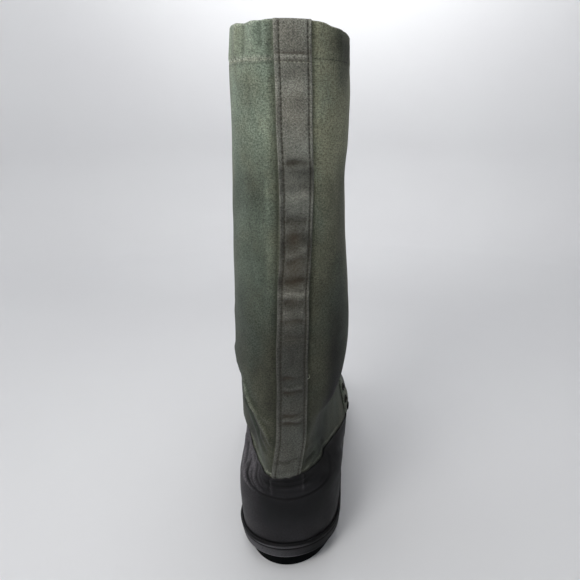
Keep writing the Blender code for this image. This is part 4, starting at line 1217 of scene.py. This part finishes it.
def buildFoxing():
    # a profile carried round the last
    turn = np.linspace(-math.pi, math.pi, foxing["turns"], endpoint=False)
    height = column(foxingProfile, "height")[:, None] + 0 * turn
    wall = column(foxingProfile, "wall")[:, None] + 0 * turn
    arc = arcFromStrip(turn, np.full((1, len(turn)), 0.02), 0.09)
    seen = wall > foxing["outside"]
    fromJoint = arc - foxing["middle"]
    height = height + foxing["joint"] * bell(fromJoint, 9) * ramp(height, 15, 23)
    out = foxing["under"] + wall + foxing["waver"] * softNoise(arc, 0 * arc, 40, 51) * seen
    points = lasted(turn, height * mm, out * mm)
    # dust on the band with painted light on the lit left side, paler towards its lower edge, and painted
    # highlights on that edge and on the rib above the groove
    left = ramp(arc, 26, -34) * ramp(arc, -110, -70)
    wear = 0.5 * left * ramp(height, 22.9, 22.4) * ramp(height, 12.4, 13.2) * (1.25 - 0.06 * (height - 13))
    wear = wear + 0.8 * bell(height - foxing["lowerEdge"], 0.6) * (0.4 + 0.6 * left)
    wear = wear + 0.22 * left * ramp(height, 24, 25.5)
    wear = wear + 0.6 * bell(height - foxing["rib"], 1.0) * (0.25 + 0.75 * left) * bell(fromJoint, 36)
    # darker along the top, lower down towards both sides
    darkTop = ease((height - foxing["painted"] + 4.5 * (1 - bell(fromJoint, 40))) / 0.6)
    # painted shade in the groove and down the shadowed inner side
    soil = 0.95 * bell(height - foxing["groove"], 0.5) + 0.9 * darkTop
    soil = soil + 0.85 * ramp(arc, 4, 34) * ramp(arc, 200, 100)
    paint = {"wear": np.clip(seen * wear, 0, 1), "soil": np.clip(seen * soil, 0, 1)}
    settle(ringMesh("foxing_strip", points, foxingMaterial, paint), "foxing_band", "foxing_band")


buildFoxing()
print("foxing made")


# Outsole and insole

tread = {                       # millimetres from the back edge of the heel
    "heelGrooves": (18.0, 31.0, 53.0, 68.0),
    "ballGrooves": (156.0, 171.0, 186.0, 201.0, 216.0, 231.0, 246.0, 261.0, 276.0),
    "width": 4.6,
    "depth": 3.0,
    "rim": 7.0,
    "arch": (92.0, 142.0),
    "archDepth": 4.5,
    "slope": 5.0,
    "edge": 0.2,                # half the run of a groove's side
    "closest": 0.9,             # an even station nearer than this to a groove's edge is left out
}

soleProfile = (                 # millimetres up, out from the last's foot and drawn in at the sides
    ("height", "offset", "tuck"),
    (10.0, 2.9, 0.0), (11.2, 2.92, 0.0), (11.6, 3.1, 0.0), (11.4, 3.4, 0.0), (10.4, 3.6, 0.0),
    (8.8, 3.7, 0.2), (7.0, 3.7, 0.9), (5.6, 3.7, 1.8), (4.2, 3.7, 2.7), (3.0, 3.7, 3.6), (2.0, 3.7, 4.3),
    (1.2, 3.6, 4.7), (0.5, 3.4, 5.0), (0.12, 3.0, 5.15), (0.0, 2.5, 5.3),
)


soleRubber = dict(rubber, black="#020405", bloom="#040708", dust="#2d2c2e", dusting=(0.4, 0.8),
                  roughness=(0.7, 0.85), gloss=0.05)
soleMaterial = makeRubberMaterial("moulded black rubber", soleRubber)


def outlineAt(along, offset, tuck):
    # the last's foot at the sole's top, moved out in plan: both sides, at a share from heel to toe
    turn = np.arccos(np.clip(1 - 2 * along, -1, 1))
    level = boot["soleTop"] + 0 * turn
    small = 1e-3
    here = lastedPoint(turn, level)
    across = lastedPoint(turn + small, level) - lastedPoint(turn - small, level)
    outward = unit(np.stack((across[:, 1], -across[:, 0], 0 * turn), axis=-1))
    inner = here + outward * (offset - tuck * outward[:, :1] ** 2)
    inward = smoothTable(bend, (here[:, 1] + boot["heelCentre"]) / mm, "inward") * mm
    outer = inner * 1.0
    outer[:, 0] = 2 * (inward + sectionValue("shift", level)) - inner[:, 0]
    return inner, outer


def sweptPlate(name, stations, profile, bottomShape, bottomSteps, material, attributes):
    # closed loops of points across the foot at each station from heel to toe: the underside from
    # side to side, up one side's profile, across the top and down the other
    heights, offsets, tucks = [column(profile, key) * mm for key in ("height", "offset", "tuck")]
    sides = np.array([outlineAt(stations, offset, tuck) for offset, tuck in zip(offsets, tucks)])
    sides = sides.transpose(1, 2, 0, 3)
    sides[..., 2] = heights
    inner, outer = sides
    near, far = outer[:, -1], inner[:, -1]
    width = np.linalg.norm(far - near, axis=1)[:, None]
    step = np.minimum(np.array(bottomSteps) * mm, width * 0.5) / np.maximum(width, 1e-9)
    share = np.clip(np.concatenate((step, 1 - step[:, ::-1]), axis=1), 0, 1)
    under = near[:, None] + (far - near)[:, None] * share[..., None]
    inEdge = np.minimum(share, 1 - share) * width
    under[..., 2] = heights[-1] + bottomShape(under[..., 1], inEdge)
    topShare = np.linspace(0, 1, 7)[1:-1]
    top = inner[:, :1] + (outer[:, :1] - inner[:, :1]) * topShare[None, :, None]
    loop = np.concatenate((under, inner[:, -2::-1], top, outer[:, :-1]), axis=1)
    faces = gridFaces(*loop.shape[:2], False, True)[:, ::-1]
    piece = finishedMesh(name, sprung(loop), faces, material, attributes(loop))
    cleaned(piece, tiny)
    piece.data.shade_smooth()
    return piece


def footStations(places, closest):
    # shares from heel to toe: the given places in millimetres, and others between them, closer at the ends
    back, front = [sectionValue(end, np.array(boot["soleTop"])) / mm for end in ("back", "front")]
    even = (1 - np.cos(np.linspace(0, math.pi, 96))) / 2
    wanted = (np.array(places) - back) / (front - back)
    gaps = [np.min(np.abs(wanted - share), initial=1) * (front - back) for share in even]
    return np.unique(np.concatenate((even[np.array(gaps) > closest], wanted, (0.0, 1.0))))


def treadDepth(y, inEdge):
    # grooves across the lugs, and the arch cut between heel and ball: each with steep smooth sides
    along = (y + boot["heelCentre"]) / mm
    half, edge, slope = tread["width"] / 2, tread["edge"], tread["slope"]
    groove = np.zeros(along.shape)
    for at in tread["heelGrooves"] + tread["ballGrooves"]:
        groove = np.maximum(groove, ramp(np.abs(along - at), half + edge, half - edge))
    groove = groove * ease((inEdge / mm - tread["rim"] + 0.35) / 0.7)
    start, end = tread["arch"]
    arch = ramp(along, start - slope, start + slope) * ramp(along, end + slope, end - slope)
    return np.maximum(groove * tread["depth"], arch * tread["archDepth"]) * mm


def soleMarks(loop):
    # worn grey on the ground face
    ground = ease(1 - loop[..., 2] / (0.4 * mm))
    return {"wear": 0.6 * ground, "soil": 0.3 * (1 - ground)}


def buildOutsole():
    # stations at both ends of every groove's sides and along the arch's slopes
    half, edge, slope = tread["width"] / 2, tread["edge"], tread["slope"]
    places = [at + side * half + reach for at in tread["heelGrooves"] + tread["ballGrooves"]
              for side in (-1, 1) for reach in (-edge, edge)]
    places += [at + share * slope for at in tread["arch"] for share in (-1, -0.5, 0, 0.5, 1)]
    steps = (0.0, 2.5, 5.5, 6.6, 7.4, 12.0, 18.0, 26.0, 34.0, 42.0)
    stations = footStations(places, tread["closest"])
    piece = sweptPlate("outsole_tread", stations, soleProfile, treadDepth, steps, soleMaterial, soleMarks)
    settle(piece, "outsole", "outsole")


buildOutsole()

insoleProfile = (               # as the sole's, from the top down
    ("height", "offset", "tuck"),
    (14.3, -4.2, 0.0), (14.2, -3.6, 0.0), (13.9, -3.1, 0.0), (13.3, -2.7, 0.0), (12.0, -2.6, 0.0),
    (10.9, -2.6, 0.0), (10.4, -2.9, 0.0), (10.35, -3.6, 0.0),
)


def buildInsole():
    # a plain plate with rounded edges and a flat underside
    steps = (0.0, 6.0, 14.0, 24.0, 36.0)
    material = makeMottledMaterial("wool felt, pressed", felt, Roughness=0.97, Sheen_Weight=0.3)
    piece = sweptPlate("felt_insole", footStations((), 0.5), insoleProfile, lambda y, inEdge: 0 * y, steps,
                       material, lambda loop: {})
    settle(piece, "insole", "insole")


buildInsole()
print("outsole and insole made")


# Eyelet patches and eyelets

patch = {
    "rear": 112.0, "front": 148.0, "top": 132.0, "bottom": 81.5,      # millimetres
    "lift": 0.5,
    "wall": 1.2,
    "columns": 41,
    "straightRows": 34,
    "roundRows": 26,
    "seamInset": 2.6,
    "groove": 0.45,             # how far the stitches pull the cloth in
    "lean": 84.0,               # degrees round the foot to its last row, which is short but not a point
    "stitch": 2.7,              # spacing of its stitches
    "hole": 2.75,               # radius cut through the cloth for an eyelet's barrel
}
eyelets = ((119.5, 118.0), (119.5, 103.0), (126.0, 90.0))       # along and height
eyeletProfile = (               # millimetres out from the barrel's axis and out of the cloth
    ("radius", "depth"),
    (2.1, -4.4), (2.1, -1.0), (2.12, 0.1), (2.3, 0.55), (2.7, 0.85), (3.2, 0.95), (3.7, 0.9), (4.2, 0.66),
    (4.5, 0.35), (4.6, 0.05), (4.3, 0.0), (3.4, 0.0), (2.7, -0.05), (2.6, -0.5), (2.6, -4.4),
)


brassMaterial = makeMottledMaterial("brass, blackened", brass, Metallic=1.0)


def eyeletFrame(along, height, side):
    # seat on the patch's outside, and three directions, the last of them out of the boot
    seat = (patch["lift"] + patch["wall"] + 0.4) * mm
    at = np.array((along, height)) * mm
    onLast, centre = [sideLasted(at[0], at[1], side, out) for out in (0.0, seat)]
    outward = unit(centre - onLast)
    first = unit(np.cross(outward, (0.0, 0.0, 1.0)))
    return centre, first, np.cross(outward, first), outward


def buildHoleCutter():
    # a drum through the cloth at each eyelet: rings at both ends, closed by points at their middles
    parts = []
    sides = 16
    for side in (1, -1):
        for along, height in eyelets:
            centre, first, second, outward = eyeletFrame(along, height, side)
            rim = spokes(sides, first, second) * patch["hole"] * mm
            rings = np.stack([centre + outward * reach * mm + rim * size
                              for reach, size in ((-9, 1e-3), (-9, 1), (3, 1), (3, 1e-3))])
            parts.append((rings.reshape(-1, 3), gridFaces(len(rings), sides, True, True)))
    return cleaned(joinedMesh("hole_cutter", parts, None), 10 * tiny)


def punch(piece, cutter):
    # cuts the eyelets' holes and keeps the result as the piece's own mesh
    modifier = piece.modifiers.new("punch", "BOOLEAN")
    modifier.operation = "DIFFERENCE"
    modifier.solver = "EXACT"
    modifier.object = cutter
    whole = piece.data
    punched = bpy.data.meshes.new_from_object(piece.evaluated_get(bpy.context.evaluated_depsgraph_get()))
    piece.modifiers.clear()
    piece.data = punched
    punched.name = piece.name
    bpy.data.meshes.remove(whole)


def buildPatch(word, side, cutter):
    # a sheet with a straight top and sides and a half-round foot
    radius = (patch["front"] - patch["rear"]) / 2
    centre = (patch["front"] + patch["rear"]) / 2
    turnDown = patch["bottom"] + radius
    straight = np.linspace(patch["top"], turnDown, patch["straightRows"])
    lean = np.linspace(0, math.radians(patch["lean"]), patch["roundRows"])[1:]
    heights = np.concatenate((straight, turnDown - radius * np.sin(lean)))[::-1, None]
    halves = np.concatenate((np.full(len(straight), radius), radius * np.cos(lean)))[::-1, None]
    across = closerAtEnds(patch["columns"])[None, :] * halves
    if side > 0:                # so that columns run to the right as seen from outside
        across = across[:, ::-1]
    below = np.maximum(turnDown - heights, 0)
    inEdge = np.where(below > 0, radius - np.hypot(across, below), radius - np.abs(across))
    inEdge = np.maximum(np.minimum(inEdge, patch["top"] - heights), 0)
    fromSeam = inEdge - patch["seamInset"]
    relief = 0.12 * softNoise(across, heights, 16, 61) - patch["groove"] * bell(fromSeam, 0.7)
    thick = patch["wall"] * quarterRound(inEdge / 0.8 + 0.12) + relief * ease(inEdge / 1.2)
    along = (centre + across) * mm
    up = heights * mm + 0 * along
    outer = sideLasted(along, up, side, (patch["lift"] + np.maximum(thick, 0.12)) * mm)
    inner = sideLasted(along, up, side, patch["lift"] * mm + 0 * along)
    paint = {"tone": 0.35 + 0 * across, "shade": 0.5 + 0 * across, "wear": 0.5 * bell(inEdge - 0.5, 0.6),
             "soil": 0.1 + 0.3 * bell(fromSeam, 0.5)}
    name = "eyelet_patch_cloth_" + word
    piece = sheetMesh(name, outer, inner, -side * across * mm, up, paint, clothMaterial)
    punch(cleaned(piece), cutter)
    settle(piece, "eyelet_patch", "eyelet_patch_" + word)
    return patchStitches(side, radius, centre, turnDown)


def patchStitches(side, radius, centre, turnDown):
    # round the patch, inside its edge: down one side, round the foot, up the other and back across the top
    inset = radius - patch["seamInset"]
    top = patch["top"] - patch["seamInset"]
    sweep = np.linspace(0, math.pi, 40)
    lineAcross = np.concatenate(([-inset], -inset * np.cos(sweep), [inset, -inset]))
    lineUp = np.concatenate(([top], turnDown - inset * np.sin(sweep), [top, top]))
    run = np.concatenate(([0], np.cumsum(np.hypot(np.diff(lineAcross), np.diff(lineUp)))))
    where = np.arange(1.2, run[-1], patch["stitch"])
    along = (centre + np.interp(where, run, lineAcross)) * mm
    up = np.interp(where, run, lineUp) * mm
    lift = (patch["lift"] + patch["wall"] - 0.35) * mm
    onLast, at = [sideLasted(along, up, side, out + 0 * along) for out in (0.0, lift)]
    return stitchRow(at, unit(at - onLast), True, "patch")


def buildEyelet(node, along, height, side):
    # a profile turned about the eyelet's axis
    centre, first, second, outward = eyeletFrame(along, height, side)
    around = spokes(32, first, second)
    radius, depth = [column(eyeletProfile, key)[:, None, None] * mm for key in ("radius", "depth")]
    rings = centre + around * radius + outward * depth
    settle(cleaned(ringMesh("brass_" + node, rings, brassMaterial)), "eyelet", node)


holeCutter = buildHoleCutter()
punch(bpy.data.objects["canvas_shaft"], holeCutter)
patchRows = []
for side, word in ((1, "inner"), (-1, "outer")):
    patchRows.append(buildPatch(word, side, holeCutter))
    for number, (along, height) in enumerate(eyelets, start=1):
        buildEyelet("eyelet_%s_%d" % (word, number), along, height, side)
bpy.data.objects.remove(holeCutter, do_unlink=True)
settle(joinedMesh("patch_stitches", patchRows, threadMaterial), "eyelet_patch")
print("patches and eyelets made")


# Stitches and loose threads

seams = {                       # millimetres
    "strip": 3.1,               # spacing of stitches up the strip, round the hem and over the strip
    "hem": 3.0,
    "cross": 2.9,
    "crossAt": 425.6,
    "paleTo": -70.0,            # the hem's thread is faded from here to the strip
}


def stripSeam(across):
    # a row of stitches up the strip at one distance across it
    first, last = 4, len(stripHeights) - 2
    col = np.interp(across, stripAcross, np.arange(len(stripAcross)))
    line, _ = onGrid(stripGrid, np.arange(first, last).astype(float), np.full(last - first, col))
    rows = first + evenPlaces(line, seams["strip"] * mm)
    rows = rows[rows < last]
    at, normal = onGrid(stripGrid, rows, np.full(len(rows), col))
    return stitchRow(at, normal, False, "strip")


def hemSeam(low, high, style):
    # a row of stitches round the hem between two distances from the strip's middle
    over = shaftHeights / mm - hemLine(shaftArc)
    columns = np.arange(over.shape[1] - 1).astype(float)
    rowAt = np.array([np.interp(0, side, np.arange(len(over))) for side in over.T[:-1]])
    line, _ = onGrid(shaftGrid, rowAt, columns)
    places = evenPlaces(line, seams["hem"] * mm)
    at, normal = onGrid(shaftGrid, np.interp(places, columns, rowAt), places)
    nearHem = shaftArc[-20]
    arc = np.interp(places, np.arange(len(nearHem)), nearHem)
    keep = (arc > low) & (arc < high)
    return stitchRow(at[keep], normal[keep], False, style)


def stripCrossSeam():
    # the hem's stitches where they run over the strip
    left, right = strip["margins"]
    across = np.arange(left + 0.4, right + 0.2, seams["cross"])
    cols = np.interp(across, stripAcross, np.arange(len(stripAcross)))
    rows = np.interp(seams["crossAt"] * mm, stripHeights, np.arange(len(stripHeights))) + 0 * cols
    at, normal = onGrid(stripGrid, rows, cols)
    return stitchRow(at, normal, False, "hem")


def looseThread(start, ahead, normal, length, curl, radius):
    # a thin tube on a curved line that lifts off the cloth: circles carried along it, closed at both
    # ends by circles of no size; lengths in millimetres
    sides = 5
    t = np.linspace(0, 1, 12)[:, None]
    side = np.cross(normal, ahead)
    line = ahead * length * t + side * curl * np.sin(t * 2.6) + normal * length * 0.35 * np.sin(t * 3.1)
    line = start + line * mm
    direction = unit(np.gradient(line, axis=0))
    first = unit(np.cross(direction, normal + 0.01))
    second = np.cross(direction, first)
    rings = line[:, None] + radius * mm * spokes(sides, first[:, None], second[:, None])
    rings = np.concatenate((np.repeat(line[:1, None], sides, axis=1), rings,
                            np.repeat(line[-1:, None], sides, axis=1)))
    return rings.reshape(-1, 3), gridFaces(len(rings), sides, False, True)


frays = (                       # distance from the strip's middle, and rise above the rubber's edge
    (-13.5, 1.4), (-12.2, 0.6), (-15.5, 2.2), (-17.0, 3.0), (14.5, 0.8), (3.0, 0.4), (-19, 4.0),
)
edgeFray = {"height": 192.0, "column": 4.0, "length": 4.5, "curl": 0.5, "radius": 0.22}      # on the strip


def buildLooseThreads():
    # a few frayed ends where the canvas meets the rubber, and one on the strip's edge
    draw = np.random.default_rng(7)
    fineThread = 0.16           # radius
    parts = []
    levels = shaftHeights[:, shaftHeights.shape[1] // 2]
    edge = rubberTop(np.array(0.0))
    arcs = shaftArc[np.argmin(np.abs(levels - edge))]
    for arc, rise in frays:
        row = np.argmin(np.abs(levels - edge - rise * mm))
        col = np.interp(arc, arcs, np.arange(len(arcs)))
        (at,), (normal,) = onGrid(shaftGrid, np.array([float(row)]), np.array([col]))
        way = unit(np.cross(normal, draw.normal(size=3)))
        length, curl = draw.uniform(1.5, 3.0), draw.uniform(-0.8, 0.8)
        parts.append(looseThread(at + normal * 1.2 * mm, way, normal, length, curl, fineThread))
    row = np.argmin(np.abs(stripHeights - edgeFray["height"] * mm))
    col = len(stripAcross) - edgeFray["column"]
    (at,), (normal,) = onGrid(stripGrid, np.array([float(row)]), np.array([col]))
    way = unit(np.array((0.35, 0.0, 1.0)))
    parts.append(looseThread(at, way, normal, *[edgeFray[key] for key in ("length", "curl", "radius")]))
    settle(cleaned(joinedMesh("frayed_threads", parts, paleThreadMaterial), tiny), "canvas_upper")


beside = strip["width"] / 2 + 1.0
paleTo = seams["paleTo"]
outerHem = [hemSeam(paleTo, -beside, "hem")]
innerHem = [hemSeam(-math.inf, paleTo, "fine"), hemSeam(beside, math.inf, "fine")]
for name, slot, material, rows in (
        ("strip_stitches", "back_strip", threadMaterial, [stripSeam(at) for at in strip["seams"]]),
        ("hem_stitches_outer", "canvas_upper", paleThreadMaterial, outerHem),
        ("hem_stitches_inner", "canvas_upper", threadMaterial, innerHem),
        ("strip_hem_stitches", "back_strip", paleThreadMaterial, [stripCrossSeam()])):
    settle(joinedMesh(name, rows, material), slot)
buildLooseThreads()
print("stitches made")


# Floor, light and camera

stage = {                       # metres; the sweep is round, so that it is plain from every side
    "centre": (0.0, 0.118),
    "flat": 1.05,
    "bendRadius": 0.30,
    "wall": 1.9,
}


def buildStage():
    # a round floor that bends up into a wall: a profile of radius and height turned about its centre
    arch = np.linspace(0, math.pi / 2, 14)[1:]
    edge = stage["flat"] + stage["bendRadius"]
    radius = np.concatenate((np.linspace(0, stage["flat"], 8),
                             stage["flat"] + stage["bendRadius"] * np.sin(arch), [edge]))
    z = np.concatenate((np.zeros(8), stage["bendRadius"] * (1 - np.cos(arch)), [stage["wall"]]))
    around = spokes(72, np.array((1.0, 0.0, 0.0)), np.array((0.0, 1.0, 0.0)))
    points = around * radius[:, None, None] + (*stage["centre"], 0.0)
    points[..., 2] = z[:, None]
    faces = gridFaces(len(radius), len(around), False, True)[:, ::-1]
    material = makeMottledMaterial("matt backdrop board", board, Roughness=0.9)
    backdrop = cleaned(finishedMesh("backdrop", points, faces, material), tiny, outward=False)


white = (1.0, 1.0, 1.0)
lamps = (                       # name, place and aim in metres, width of the disc, watts, colour
    ("key", (-0.24, -0.38, 0.80), (0.0, 0.0, 0.32), 0.34, 2.6, (1.0, 0.99, 0.97)),
    ("top", (-0.1, 0.35, 1.5), (0.0, 0.05, 0.1), 1.3, 9.5, (0.98, 0.985, 1.0)),
    ("back wall", (0.0, 0.95, 1.25), (0.0, 1.35, 1.15), 0.9, 7.6, white),
    ("left wall", (-0.85, 0.1, 1.25), (-1.35, 0.1, 1.1), 0.9, 3.6, white),
    ("right wall", (0.85, 0.1, 1.25), (1.35, 0.1, 1.1), 0.9, 0.5, white),
    ("near wall", (0.0, -0.75, 1.25), (0.0, -1.25, 1.1), 0.9, 0.5, white),
)
air = {"colour": (0.95, 0.965, 1.0, 1.0), "strength": 0.05}


def buildLamps():
    # disc lamps, each turned so that its face looks along the line to its aim
    for name, place, aim, size, power, colour in lamps:
        light = bpy.data.lights.new(name, "AREA")
        light.shape = "DISK"
        light.size = size
        light.energy = power
        light.color = colour
        holder = bpy.data.objects.new(name + "_lamp", light)
        holder.location = place
        holder.visible_camera = False
        x, y, z = np.array(aim) - np.array(place)
        holder.rotation_euler = (math.atan2(math.hypot(x, y), -z), 0, math.atan2(y, x) - math.pi / 2)
        bpy.context.scene.collection.objects.link(holder)
    world = bpy.data.worlds.new("studio air")
    world.use_nodes = True
    background = world.node_tree.nodes["Background"]
    background.inputs["Color"].default_value = air["colour"]
    background.inputs["Strength"].default_value = air["strength"]
    bpy.context.scene.world = world


eye = {
    "place": (0.0568, -0.3745, 0.3936),     # behind the heel, at the height of the shaft
    "pitch": 70.0,              # degrees up from straight down
    "lens": 29.79,
    "shift": -0.1017,
}


def buildCamera():
    camera = bpy.data.cameras.new("camera")
    camera.lens = eye["lens"]
    camera.sensor_width = 36.0
    camera.shift_x = eye["shift"]
    camera.clip_start = 0.01
    holder = bpy.data.objects.new("camera", camera)
    holder.location = eye["place"]
    holder.rotation_euler = (math.radians(eye["pitch"]), 0, 0)
    bpy.context.scene.collection.objects.link(holder)
    bpy.context.scene.camera = holder


buildStage()
buildLamps()
buildCamera()
bpy.context.scene.view_settings.view_transform = "Standard"
print("stage, lamps and camera made")
